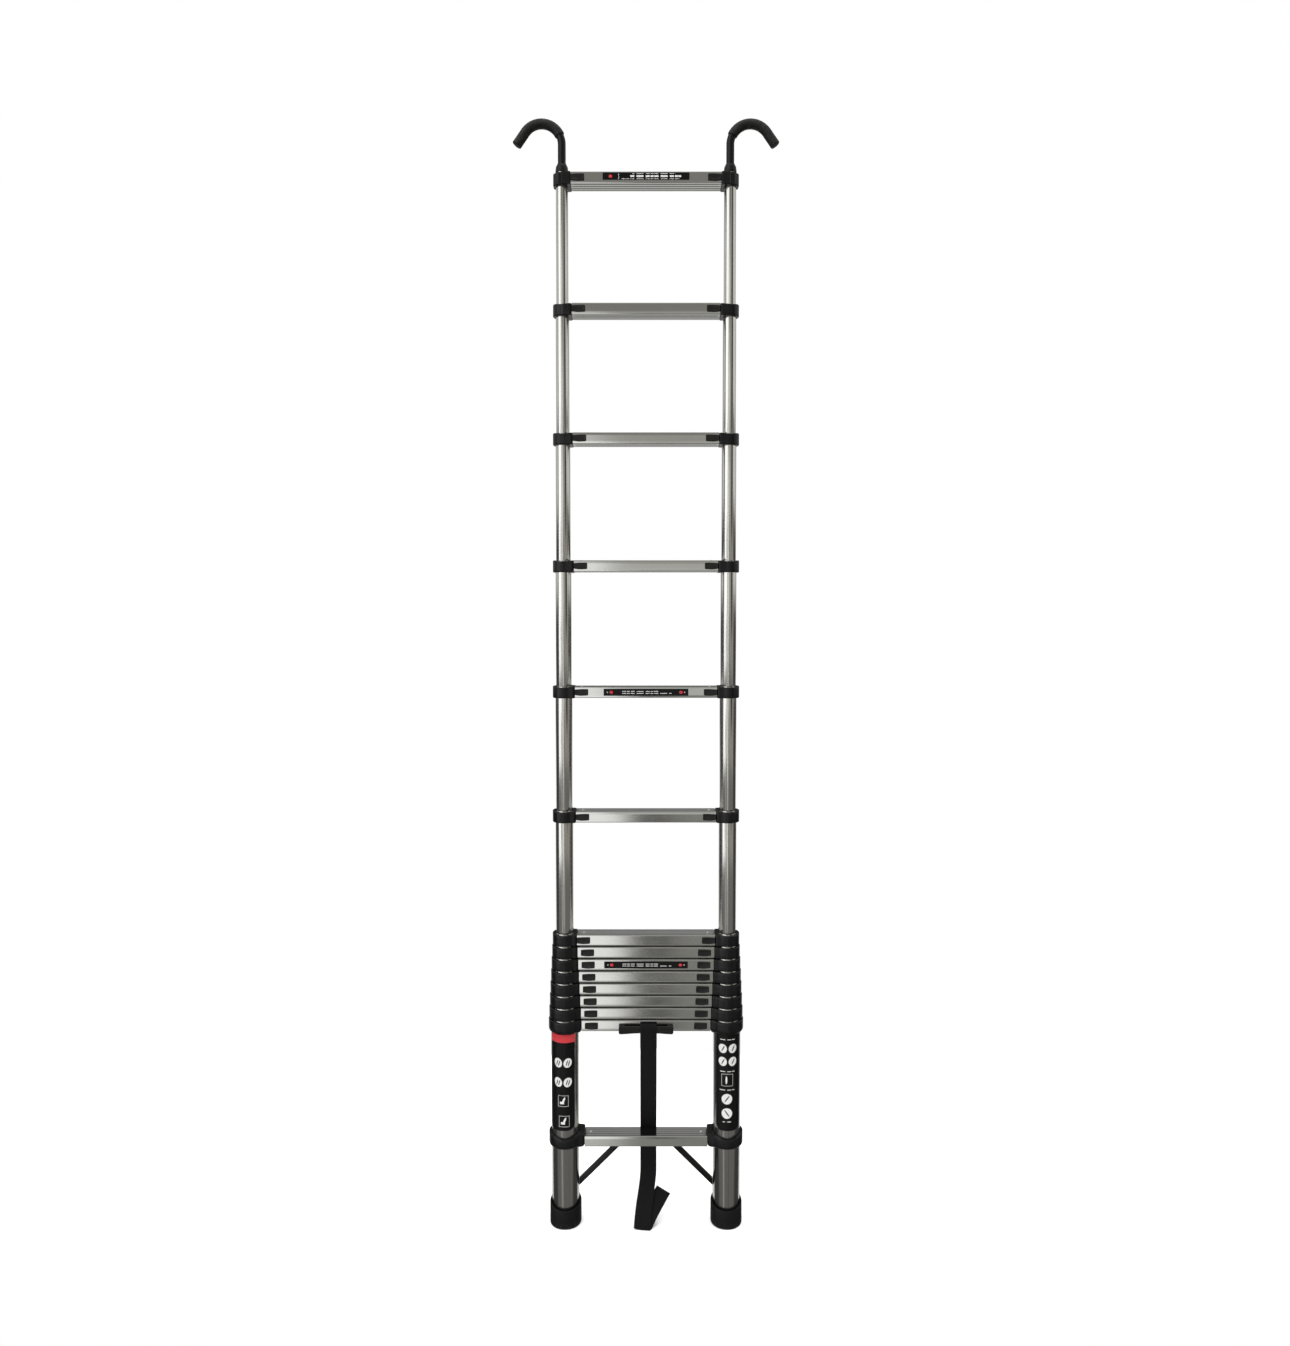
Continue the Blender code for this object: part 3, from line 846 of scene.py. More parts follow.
@dataclass
class Workshop:
    """Makes finished pieces and keeps one material for each finish.

    Attributes:
        materials: The materials made so far, by name.
        count: Number of pieces made.
    """

    materials: dict[str, bpy.types.Material] = field(default_factory=dict)
    count: int = 0

    def piece(
        self, name: str, surface: Surface, finish: Finish, slot: str, body: str, *nodes: str
    ) -> bpy.types.Object:
        """Makes a piece, dresses it, sets what it rides on and hides the nodes that it stands for.

        Args:
            name: The piece's name.
            surface: Its surface.
            finish: Its finish.
            slot: Name of a material slot; not used.
            body: The body that it rides on.
            nodes: The nodes that it stands for.

        Returns:
            The piece.
        """
        made = surface.to_object(name)
        if finish.name not in self.materials:
            self.materials[finish.name] = finish.material()
        made.data.materials.append(self.materials[finish.name])
        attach(made, body)
        if nodes:
            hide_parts(*nodes)
        self.count += 1
        log.info("%s: %d faces on %s", name, len(made.data.polygons), body)
        return made


# ---------------------------------------------------------------------------------------------
# Places that the sub-assemblies share
# ---------------------------------------------------------------------------------------------

SECTION_COUNT = 14
GAP = 0.0003


@dataclass(frozen=True)
class Ladder:
    """The shared sizes, read from the frame.

    Attributes:
        half_spacing: Distance from the middle plane to a tube's axis.
        base_radius: Outer radius of a base tube.
        collar_wall: How far a collar stands out from its tube.
        block_reach: How far a collar's block reaches from its tube to the rung.
        rung_half_depth: Half the depth of a rung.
        rung_half_height: Half the height of a rung.
    """

    half_spacing: float
    base_radius: float
    collar_wall: float
    block_reach: float
    rung_half_depth: float
    rung_half_height: float

    @classmethod
    def from_frame(cls) -> "Ladder":
        """Reads the sizes from the boxes of the foot, the base tube, its collar and its rung."""
        foot, tube = np.array(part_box("foot_right")), np.array(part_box("base_tube_right"))
        collar, rung = np.array(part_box("base_collar_right")), np.array(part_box("base_rung"))
        half_spacing = foot[:, 0].mean()
        radius = (tube[1, 0] - tube[0, 0]) / 2
        return cls(
            half_spacing=float(half_spacing),
            base_radius=float(radius),
            collar_wall=float(collar[1, 0] - half_spacing - radius),
            block_reach=float(half_spacing - radius - rung[1, 0] - GAP),
            rung_half_depth=float(rung[1, 1]),
            rung_half_height=float(rung[1, 2] - rung[:, 2].mean()),
        )


@dataclass(frozen=True)
class SectionPlan:
    """Where one section is and how wide its tubes are.

    Attributes:
        number: The section's number, from 1 at the base.
        body: The body that it rides on.
        radius: Outer radius of its tubes.
        height: Height of its rung's middle.
        face: Distance from the middle plane to the ends of its rung.
        tube_low: Height of its tubes' lower ends.
        tube_high: Height of its tubes' upper ends.
        pushed: How far its latches are pushed in at rest.
    """

    number: int
    body: str
    radius: float
    height: float
    face: float
    tube_low: float
    tube_high: float
    pushed: float

    @classmethod
    def from_frame(cls, ladder: Ladder, number: int) -> "SectionPlan":
        """Reads a section from the boxes of its nodes.

        Args:
            ladder: The shared sizes.
            number: The section's number.

        Returns:
            The plan.
        """
        latch = np.array(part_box(f"latch_{number:02d}_right"))
        if number == 1:
            radius = ladder.base_radius
            tube = np.array(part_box("base_tube_right"))
        else:
            tube = np.array(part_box(f"section_{number:02d}"))
            radius = float(tube[1, 0] - ladder.half_spacing - ladder.collar_wall)
        height = float(latch[:, 2].mean())
        face = ladder.half_spacing - radius - ladder.block_reach
        lip = 0.0127
        return cls(
            number=number,
            body="base" if number == 1 else f"section_{number:02d}_frame",
            radius=float(radius),
            height=height,
            face=float(face),
            tube_low=float(tube[0, 2]),
            tube_high=float(tube[1, 2]) if number in (1, SECTION_COUNT) else height + lip,
            pushed=float(face - GAP - LatchButton.length - latch[0, 0]),
        )


# ---------------------------------------------------------------------------------------------
# Sub-assemblies
# ---------------------------------------------------------------------------------------------


@dataclass
class PoleTube:
    """One round tube with a thin wall and the hole that its latch's pin goes through.

    Attributes:
        wall: Thickness of the wall.
        edge: Width of the broken edge at each end.
        hole: Half the width and height of the pin's hole.
        columns: Points around the tube.
    """

    wall: float = 0.0011
    edge: float = 0.0005
    hole: float = 0.0045
    columns: int = 72

    def surface(self, ladder: Ladder, plan: SectionPlan, side: Side) -> Surface:
        """The tube's wall: circles at each height, with the cells at the pin left open.

        Args:
            ladder: The shared sizes.
            plan: The section.
            side: The side of the ladder.

        Returns:
            The closed surface.
        """
        low, high = plan.tube_low, plan.tube_high
        heights = np.array([low, low + self.edge, plan.height - self.hole, plan.height + self.hole])
        heights = np.append(heights, [high - self.edge, high])
        drawn_in = np.array([self.edge, 0.0, 0.0, 0.0, 0.0, self.edge])
        angle = np.arange(self.columns) * 2 * math.pi / self.columns

        def circles(radius: Array) -> Array:
            across = radius[:, None] * np.cos(angle)
            x = side.value * (ladder.half_spacing - across)
            y = radius[:, None] * np.sin(angle)
            return np.stack([x, y, np.broadcast_to(heights[:, None], x.shape)], axis=-1)

        outer = circles(plan.radius - drawn_in * 0.6)
        inner = circles(np.full(len(heights), plan.radius - self.wall))
        return wall(
            outer, inner, kept=pin_opening(angle, plan.radius, heights, plan.height, self.hole)
        )


def pin_opening(angle: Array, radius: float, heights: Array, middle: float, half: float) -> Array:
    """Which cells of a round wall stay when a pin's hole is cut through on the ladder's inside.

    Args:
        angle: Angle of each column, 0 towards the middle of the ladder.
        radius: Radius at which the hole has its width.
        heights: Height of each row.
        middle: Height of the pin.
        half: Half the width of the hole.

    Returns:
        For each cell, whether it stays.
    """
    step = 2 * math.pi / len(angle)
    cells = math.ceil(math.asin(min(half / radius, 1.0)) / step)
    beside = np.abs((angle + step / 2 + math.pi) % (2 * math.pi) - math.pi) < cells * step
    level = np.abs((heights[:-1] + heights[1:]) / 2 - middle) < half
    return ~(level[:, None] & beside[None, :])


@dataclass
class Collar:
    """A moulded collar: a ring round the tube that widens into the block at the rung's end.

    Its outline is, at each angle, the larger of the distance to the ring and the distance to the
    block, smoothed over a few degrees so that the corners are round.

    Attributes:
        half_height: Half its height.
        top_round: Radius of the upper edge.
        bottom_round: Radius of the lower edge.
        dip: How far the upper edge dips at the front.
        margin: How far the block stands out from the rung at front and back.
        facets: Whether the ring has eight flats.
        raised: How much higher the upper edge is than half the height.
        drop: How much lower the lower edge is than half the height.
        pin: Half the width of the pin's passage, or 0 without one.
        columns: Points around the collar.
    """

    half_height: float = 0.0147
    top_round: float = 0.0026
    bottom_round: float = 0.0026
    dip: float = 0.0035
    margin: float = 0.0012
    facets: bool = False
    raised: float = 0.0
    drop: float = 0.0
    pin: float = 0.0045
    columns: int = 120

    def outline(self, angle: Array, ring: float, block: float, half_depth: float) -> Array:
        """The collar's radius at each angle, 0 being towards the middle of the ladder.

        Args:
            angle: The angles, evenly spaced.
            ring: Radius of the ring.
            block: Distance from the tube's axis to the block's face.
            half_depth: Half the block's depth.

        Returns:
            The radii.
        """
        eighth = math.pi / 4
        folded = (angle + eighth / 2) % eighth - eighth / 2
        round_part = 0.97 * ring / np.cos(folded) if self.facets else np.full(len(angle), ring)
        facing = np.maximum(np.cos(angle), 1e-6)
        sideways = np.maximum(np.abs(np.sin(angle)), 1e-6)
        block_part = np.where(
            np.cos(angle) > 0, np.minimum(block / facing, half_depth / sideways), 0.0
        )
        sharp = np.maximum(round_part, block_part)
        weights = np.array([1.0, 2.0, 1.0] if self.facets else [1.0, 3.0, 4.0, 3.0, 1.0])
        reach = len(weights) // 2
        padded = np.concatenate([sharp[-reach:], sharp, sharp[:reach]])
        return np.convolve(padded, weights / weights.sum(), mode="valid")

    def surface(
        self, ladder: Ladder, radius: float, height: float, reach: float, side: Side
    ) -> Surface:
        """The collar as a wall between its outer skin and the bore for the tube.

        Args:
            ladder: The shared sizes.
            radius: Outer radius of the tube.
            height: Height of the collar's middle.
            reach: Distance from the tube to the block's face.
            side: The side of the ladder.

        Returns:
            The closed surface.
        """
        angle = np.arange(self.columns) * 2 * math.pi / self.columns
        half_depth = ladder.rung_half_depth + self.margin
        rim = self.outline(angle, radius + ladder.collar_wall, radius + reach, half_depth)
        bore, chamfer = radius + GAP / 2, 0.0008
        turn = np.linspace(0.0, math.pi / 2, 6)
        bottom_inset = self.bottom_round * (1 - np.sin(turn))
        bottom_rise = self.bottom_round * (1 - np.cos(turn))
        top_inset = self.top_round * (1 - np.cos(turn))
        top_drop = self.top_round * (1 - np.sin(turn))
        front = np.exp(-(((angle - math.pi / 2) % (2 * math.pi) - math.pi) / 0.95) ** 2)
        top = self.half_height + self.raised - self.dip * front
        inset = np.concatenate([[1.0], bottom_inset, [0.0, 0.0], top_inset, [1.0]])
        floor = -self.half_height - self.drop
        low = np.concatenate([[0.0], bottom_rise])[:, None] + floor
        low = np.broadcast_to(low, (len(low), self.columns))
        high = top - np.concatenate([top_drop, [0.0]])[:, None]
        hole = max(self.pin, 0.001)
        level = np.stack([np.full(self.columns, -hole), np.minimum(hole, high[0] - 0.0005)])
        rise = np.vstack([low, level, high])
        out = np.maximum(rim - inset[:, None], bore + chamfer)
        inner_rise = np.clip(rise, floor + chamfer, (top - chamfer)[None, :])

        def placed(spread: Array, up: Array) -> Array:
            x = side.value * (ladder.half_spacing - spread * np.cos(angle))
            return np.stack([x, spread * np.sin(angle), height + up], axis=-1)

        kept = None
        if self.pin:
            kept = pin_opening(angle, bore, rise[:, 0], 0.0, self.pin)
        outer = placed(out, rise)
        inner = placed(np.full_like(rise, bore), inner_rise)
        return wall(outer, inner, kept=kept)


@dataclass
class StepRung:
    """A hollow rung with ribbed tread and underside, and slots for the latches' necks.

    Attributes:
        wall: Thickness of the wall.
        corner: Radius of the long edges.
        groove_pitch: Distance between two grooves.
        groove_half: Half a groove's width.
        groove_depth: Depth of a groove.
        slot: How far a slot starts and ends from the rung's end.
        slot_half: Half a slot's height.
    """

    wall: float = 0.0016
    corner: float = 0.0024
    groove_pitch: float = 0.0098
    groove_half: float = 0.0027
    groove_depth: float = 0.0012
    slot: tuple[float, float] = (0.0316, 0.0090)
    slot_half: float = 0.0040

    def outline(self, half_depth: float, half_height: float, corner: float, depth: float) -> Array:
        """The rung's section: a box with grooves above and below and a slot's edges at the front.

        Args:
            half_depth: Half its depth.
            half_height: Half its height.
            corner: Radius of its corners.
            depth: Depth of the grooves.

        Returns:
            Rows of Y and Z, from the foot of the front face round over the tread.
        """
        middles = (np.arange(4) - 1.5) * self.groove_pitch * half_depth / 0.023
        half = self.groove_half
        ribs: list[Corner] = []
        for middle in middles:
            ribs += [(middle - half, 0.0, 0.0), (middle - 0.72 * half, 0.30 * depth, 0.0)]
            ribs += [(middle - 0.36 * half, 0.80 * depth, 0.0), (middle, depth, 0.0)]
            ribs += [
                (middle + 0.36 * half, 0.80 * depth, 0.0), (middle + 0.72 * half, 0.30 * depth, 0.0)
            ]
            ribs += [(middle + half, 0.0, 0.0)]
        tread = [(y, half_height - drop, 0.0) for y, drop, _ in ribs]
        under = [(y, drop - half_height, 0.0) for y, drop, _ in reversed(ribs)]
        front, back = -half_depth, half_depth
        corners = [
            (front, -half_height, corner),
            (front, -self.slot_half, 0.0),
            (front, self.slot_half, 0.0),
        ]
        corners += [(front, half_height, corner), *tread, (back, half_height, corner)]
        corners += [(back, -half_height, corner), *under]
        return filleted(corners)

    def surface(self, ladder: Ladder, height: float, half_length: float, slotted: bool) -> Surface:
        """The section carried along X, as a wall with its slots left open.

        Args:
            ladder: The shared sizes.
            height: Height of the rung's middle.
            half_length: Half its length.
            slotted: Whether it has the latches' slots.

        Returns:
            The closed surface.
        """
        depth, tall = ladder.rung_half_depth, ladder.rung_half_height
        stations = np.array([half_length, half_length - 0.0004, half_length - self.slot[1]])
        stations = np.append(stations, [half_length - self.slot[0], half_length / 2])
        x = np.concatenate([-stations, [0.0], stations[::-1]])
        drawn_in = np.where(np.abs(x) >= half_length, 0.0004, 0.0)
        outer_line = self.outline(depth, tall, self.corner, self.groove_depth)
        inner_line = self.outline(depth - self.wall, tall - self.wall, self.corner * 0.5, 0.0)

        def carried(line: Array, shrink: Array) -> Array:
            scale = 1 - shrink[:, None] / depth
            y, z = line[:, 0] * scale, line[:, 1] * scale + height
            return np.stack([np.broadcast_to(x[:, None], y.shape), y, z], axis=-1)

        kept = None
        if slotted:
            middle_x = np.abs(x[:-1] + x[1:]) / 2
            along = (middle_x > half_length - self.slot[0]) & (
                middle_x < half_length - self.slot[1]
            )
            middle = (outer_line + np.roll(outer_line, -1, axis=0)) / 2
            across = (np.abs(middle[:, 1]) < self.slot_half) & (middle[:, 0] < -0.99 * depth)
            kept = ~(along[:, None] & across[None, :])
        outer, inner = carried(outer_line, drawn_in), carried(inner_line, np.zeros(len(x)))
        return wall(outer, inner, kept=kept)


@dataclass
class TreadScrews:
    """The two screws through a rung's tread, one at each end.

    Attributes:
        from_end: Distance from the rung's end.
        back: How far behind the rung's middle they are.
        radius: Radius of a head.
        dome: Height of a head.
    """

    from_end: float = 0.016
    back: float = 0.0
    radius: float = 0.0036
    dome: float = 0.0017

    def surface(self, ladder: Ladder, height: float, half_length: float) -> Surface:
        """Two domed heads, each a turned profile with a round recess.

        Args:
            ladder: The shared sizes.
            height: Height of the rung's middle.
            half_length: Half the rung's length.

        Returns:
            Both heads as one surface.
        """
        r, h = self.radius, self.dome
        corners = [
            (r * 0.9, -0.0014, 0.0),
            (r, -0.0006, 0.0),
            (r, 0.0002, 0.0003),
            (r * 0.75, h * 0.75, 0.001),
        ]
        corners += [(r * 0.42, h, 0.0003), (r * 0.34, h * 0.35, 0.0001), (r * 0.1, h * 0.3, 0.0)]
        profile = filleted(corners, closed=False, steps=3)
        top = height + ladder.rung_half_height
        x = half_length - self.from_end
        return joined([turned(profile, (side.value * x, self.back, top), 20) for side in Side])


@dataclass
class LatchButton:
    """A latch: the thumb button on the rung's front, its neck through the slot, and the pin.

    Attributes:
        length: Length of the button.
        height: Height of the button.
        thickness: How far it stands out.
        neck: The neck's start and end, from the rung's end when locked.
        neck_half: Half the neck's height.
        pin_radius: Radius of the pin.
        wall: Wall of the tube that the pin ends in.
    """

    length: float = 0.032
    height: float = 0.0162
    thickness: float = 0.0032
    neck: tuple[float, float] = (0.0233, 0.0093)
    neck_half: float = 0.00325
    pin_radius: float = 0.004
    wall: float = 0.0011

    def button(self, ladder: Ladder, plan: SectionPlan, side: Side) -> Surface:
        """The button: a rounded tab, dished for the thumb, with its neck behind it.

        Args:
            ladder: The shared sizes.
            plan: The section.
            side: The side of the ladder.

        Returns:
            The tab and the neck as one surface.
        """
        far = plan.face - GAP - plan.pushed
        near = far - self.length
        middle, half = (near + far) / 2, self.height / 2
        tab = filleted(
            [
                (near, plan.height - 0.92 * half, 0.0026),
                (middle + 0.002, plan.height - 1.06 * half, 0.0060),
                (far, plan.height - 0.82 * half, 0.0016),
                (far, plan.height + 0.82 * half, 0.0016),
                (middle, plan.height + 0.96 * half, 0.0060),
                (near, plan.height + 0.96 * half, 0.0026),
            ]
        )
        back = -ladder.rung_half_depth - GAP
        front = back - self.thickness
        levels = [
            (back, 0.0003), (back - 0.0003, 0.0), (front + 0.0013, 0.0), (front + 0.0005, 0.0002)
        ]
        levels += [(front + 0.0001, 0.0007), (front, 0.0014), (front + 0.00012, 0.0022)]
        levels += [(front + 0.00045, 0.0034), (front + 0.0006, 0.0052)]
        body = layered(tab, levels, side.value)
        start, end = (plan.face - distance - plan.pushed for distance in self.neck)
        low, high = plan.height - self.neck_half, plan.height + self.neck_half
        stem = filleted(
            [(start, low, 0.001), (end, low, 0.001), (end, high, 0.001), (start, high, 0.001)]
        )
        return joined([body, layered(stem, [(back - 0.0002, 0.0), (-0.001, 0.0)], side.value)])

    def pin(self, ladder: Ladder, plan: SectionPlan, side: Side) -> Surface:
        """The round pin along X, from inside the neck to the tube, with broken edges.

        Args:
            ladder: The shared sizes.
            plan: The section.
            side: The side of the ladder.

        Returns:
            The closed surface.
        """
        start = plan.face - self.neck[0] + 0.001 - plan.pushed
        tip = ladder.half_spacing - plan.radius + self.wall - plan.pushed
        chamfer = 0.0006
        stations = np.array([start, start + chamfer, tip - chamfer, tip])
        radius = np.array([1.0, 0.0, 0.0, 1.0]) * -chamfer + self.pin_radius
        angle = np.arange(20) * math.pi / 10
        y, z = radius[:, None] * np.cos(angle), radius[:, None] * np.sin(angle) + plan.height
        x = np.broadcast_to(side.value * stations[:, None], y.shape)
        return skin(np.stack([x, y, z], axis=-1))


@dataclass
class Section:
    """One section of the ladder: tubes, collars, rung, screws and latches.

    Attributes:
        plan: Where it is.
        tube: Its tubes' sizes.
        collar: Its collars' sizes.
        rung: Its rung's sizes.
        screws: Its screws' sizes.
        latch: Its latches' sizes.
    """

    plan: SectionPlan
    tube: PoleTube = field(default_factory=PoleTube)
    collar: Collar = field(default_factory=Collar)
    rung: StepRung = field(default_factory=StepRung)
    screws: TreadScrews = field(default_factory=TreadScrews)
    latch: LatchButton = field(default_factory=LatchButton)

    def build(self, ladder: Ladder, shop: Workshop) -> None:
        """Makes the section's pieces.

        Args:
            ladder: The shared sizes.
            shop: Makes and dresses the pieces.
        """
        plan, number = self.plan, f"{self.plan.number:02d}"
        base = plan.number == 1
        frame_node = f"section_{number}"
        rung_node = "base_rung" if base else frame_node
        metal_slot, plastic_slot = ("rung_metal", "collar_plastic") if base else (
            "section_steel",
        ) * 2
        half_length = plan.face - GAP
        rung = self.rung.surface(ladder, plan.height, half_length, slotted=True)
        shop.piece(f"rung_{number}", rung, RUNG_METAL, metal_slot, plan.body, rung_node)
        screws = self.screws.surface(ladder, plan.height, half_length)
        shop.piece(f"rung_screws_{number}", screws, SCREW_STEEL, metal_slot, plan.body)
        for side in Side:
            tube_node = f"base_tube_{side.word}" if base else frame_node
            collar_node = f"base_collar_{side.word}" if base else frame_node
            tube = self.tube.surface(ladder, plan, side)
            steel, tube_slot = (BASE_STEEL, "steel") if base else (TUBE_STEEL, "section_steel")
            shop.piece(f"tube_{number}_{side.word}", tube, steel, tube_slot, plan.body, tube_node)
            collar = self.collar.surface(ladder, plan.radius, plan.height, ladder.block_reach, side)
            name = f"collar_{number}_{side.word}"
            shop.piece(name, collar, COLLAR_PLASTIC, plastic_slot, plan.body, collar_node)
            latch_node, latch_body = f"latch_{number}_{side.word}", f"latch_{number}_{side.word}_body"
            button = self.latch.button(ladder, plan, side)
            name = f"latch_button_{number}_{side.word}"
            shop.piece(name, button, BUTTON_PLASTIC, "latch_plastic", latch_body, latch_node)
            pin = self.latch.pin(ladder, plan, side)
            name = f"latch_pin_{number}_{side.word}"
            shop.piece(name, pin, PIN_STEEL, "latch_plastic", latch_body, latch_node)


@dataclass
class LowerStep:
    """The fixed lower rung with its two collars, and the braces bolted under it.

    Attributes:
        rung: The rung's sizes.
        collar: The collars' sizes.
        screws: The screws' sizes.
        brace_edge: Radius of a brace's edges.
        bolt_radius: Radius of a brace's bolt head.
        bolt_height: Height of a brace's bolt head.
        brace_cut: Length of a brace's end along the tube and along the rung.
        brace_depth: Depth of a brace.
    """

    rung: StepRung = field(default_factory=StepRung)
    collar: Collar = field(
        default_factory=lambda: Collar(
            bottom_round=0.0075, dip=0.0120, raised=0.0060, top_round=0.0020, pin=0.0
        )
    )
    screws: TreadScrews = field(default_factory=lambda: TreadScrews(from_end=0.014))
    brace_edge: float = 0.0012
    bolt_radius: float = 0.0036
    bolt_height: float = 0.0018
    brace_cut: float = 0.017
    brace_depth: float = 0.010

    def build(self, ladder: Ladder, shop: Workshop) -> None:
        """Makes the lower rung, its collars, the braces and their bolts.

        Args:
            ladder: The shared sizes.
            shop: Makes and dresses the pieces.
        """
        low, high = (np.array(corner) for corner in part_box("lower_rung"))
        height, half_length = float((low[2] + high[2]) / 2), float(high[0])
        reach = ladder.half_spacing - ladder.base_radius - half_length - GAP
        rung = self.rung.surface(ladder, height, half_length, slotted=False)
        shop.piece("lower_rung_bar", rung, RUNG_METAL, "rung_metal", "base", "lower_rung")
        screws = self.screws.surface(ladder, height, half_length)
        shop.piece("lower_rung_screws", screws, SCREW_STEEL, "rung_metal", "base")
        for side in Side:
            collar = self.collar.surface(ladder, ladder.base_radius, height, reach, side)
            node = f"lower_collar_{side.word}"
            shop.piece(
                f"lower_band_{side.word}", collar, COLLAR_PLASTIC, "collar_plastic", "base", node
            )
            self.build_brace(side, shop)

    def build_brace(self, side: Side, shop: Workshop) -> None:
        """Makes one brace, a slanting bar with ends cut to the tube and the rung, and its bolts.

        Args:
            side: The side of the ladder.
            shop: Makes and dresses the pieces.
        """
        low, high = (np.array(corner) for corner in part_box(f"brace_{side.word}"))
        inner, outer = sorted((abs(low[0]), abs(high[0])))
        cut = self.brace_cut
        bottom, top = float(low[2]), float(high[2])
        outline = filleted(
            [
                (outer, bottom, 0.0008),
                (outer, bottom + cut, 0.0008),
                (inner + cut, top, 0.0008),
                (inner, top, 0.0008),
            ]
        )
        half, edge = self.brace_depth / 2, self.brace_edge
        levels = [(-half, edge), (-half + 0.3 * edge, 0.3 * edge), (-half + edge, 0.0)]
        levels += [(half - edge, 0.0), (half - 0.3 * edge, 0.3 * edge), (half, edge)]
        bar = layered(outline, levels, side.value)
        node = f"brace_{side.word}"
        shop.piece(f"brace_bar_{side.word}", bar, BRACE_PAINT, "brace_paint", "base", node)
        r, h = self.bolt_radius, self.bolt_height
        profile = [
            (r, 0.0003, 0.0),
            (r, -h * 0.6, 0.0006),
            (r * 0.6, -h, 0.0004),
            (r * 0.45, -h * 0.5, 0.0),
        ]
        profile = filleted(profile, closed=False, steps=3)
        angle = np.arange(24) * math.pi / 12
        heads = []
        for share in (0.12, 0.88):
            x = side.value * (outer + (inner + cut / 2 - outer) * share)
            z = bottom + cut / 2 + (top - bottom - cut / 2) * share
            rings = profile[:, :1, None] * np.stack([np.cos(angle), np.sin(angle)], axis=-1)
            y = np.broadcast_to(profile[:, 1:] - half, rings.shape[:2])
            heads.append(skin(np.stack([x + rings[..., 0], y, z + rings[..., 1]], axis=-1)))
        shop.piece(f"brace_bolts_{side.word}", joined(heads), BRACE_PAINT, "brace_paint", "base")


@dataclass
class RubberFoot:
    """A rubber boot on the end of a base tube, its rim slanting up towards the back.

    Attributes:
        sole: Thickness of the sole.
        front: Height of the rim at the front.
        back: Height of the rim at the back.
        edge: Radius of the lower edge.
        rib_pitch: Distance between two grooves round the foot.
        rib_depth: Depth of those grooves.
    """

    sole: float = 0.010
    front: float = 0.046
    back: float = 0.066
    edge: float = 0.005
    rib_pitch: float = 0.0042
    rib_depth: float = 0.0006

    def surface(self, ladder: Ladder, side: Side) -> Surface:
        """A turned boot whose rim height follows the sine of the angle.

        Args:
            ladder: The shared sizes.
            side: The side of the ladder.

        Returns:
            The closed surface.
        """
        low, high = (np.array(corner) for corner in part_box(f"foot_{side.word}"))
        outer, inner = float(high[0] - low[0]) / 2, ladder.base_radius + GAP
        lip = outer - inner
        ribs: list[Corner] = []
        for number in range(4):
            z = self.edge + 0.003 + number * self.rib_pitch
            ribs += [(outer, z - 0.0008, 0.0), (outer - self.rib_depth, z - 0.0003, 0.0)]
            ribs += [(outer - self.rib_depth, z + 0.0003, 0.0), (outer, z + 0.0008, 0.0)]
        outside: list[Corner] = [
            (outer * 0.5, 0.0, 0.0), (outer, 0.0, self.edge), *ribs, (outer, 0.030, 0.0)
        ]
        lower = filleted(outside, closed=False)
        turn = np.linspace(0.0, math.pi, 7)
        rim = np.stack([inner + lip / 2 + lip / 2 * np.cos(turn), lip / 2 * np.sin(turn)], axis=-1)
        floor = np.array([[inner, self.sole], [inner * 0.5, self.sole]])
        angle = np.arange(72) * 2 * math.pi / 72
        rim_height = (self.front + self.back) / 2 + (self.back - self.front) / 2 * np.sin(angle)
        radius = np.concatenate([lower[:, 0], rim[:, 0], floor[:, 0]])
        height = np.concatenate([lower[:, 1], rim[:, 1] - lip / 2, floor[:, 1]])
        follows_rim = np.concatenate(
            [np.zeros(len(lower)), np.ones(len(rim)), np.zeros(len(floor))]
        )
        z = height[:, None] + follows_rim[:, None] * rim_height
        x = side.value * ladder.half_spacing + radius[:, None] * np.cos(angle)
        return skin(np.stack([x, radius[:, None] * np.sin(angle), z], axis=-1))

    def build(self, ladder: Ladder, shop: Workshop) -> None:
        """Makes both feet."""
        for side in Side:
            name, node = f"boot_{side.word}", f"foot_{side.word}"
            shop.piece(name, self.surface(ladder, side), FOOT_RUBBER, "foot_rubber", "base", node)


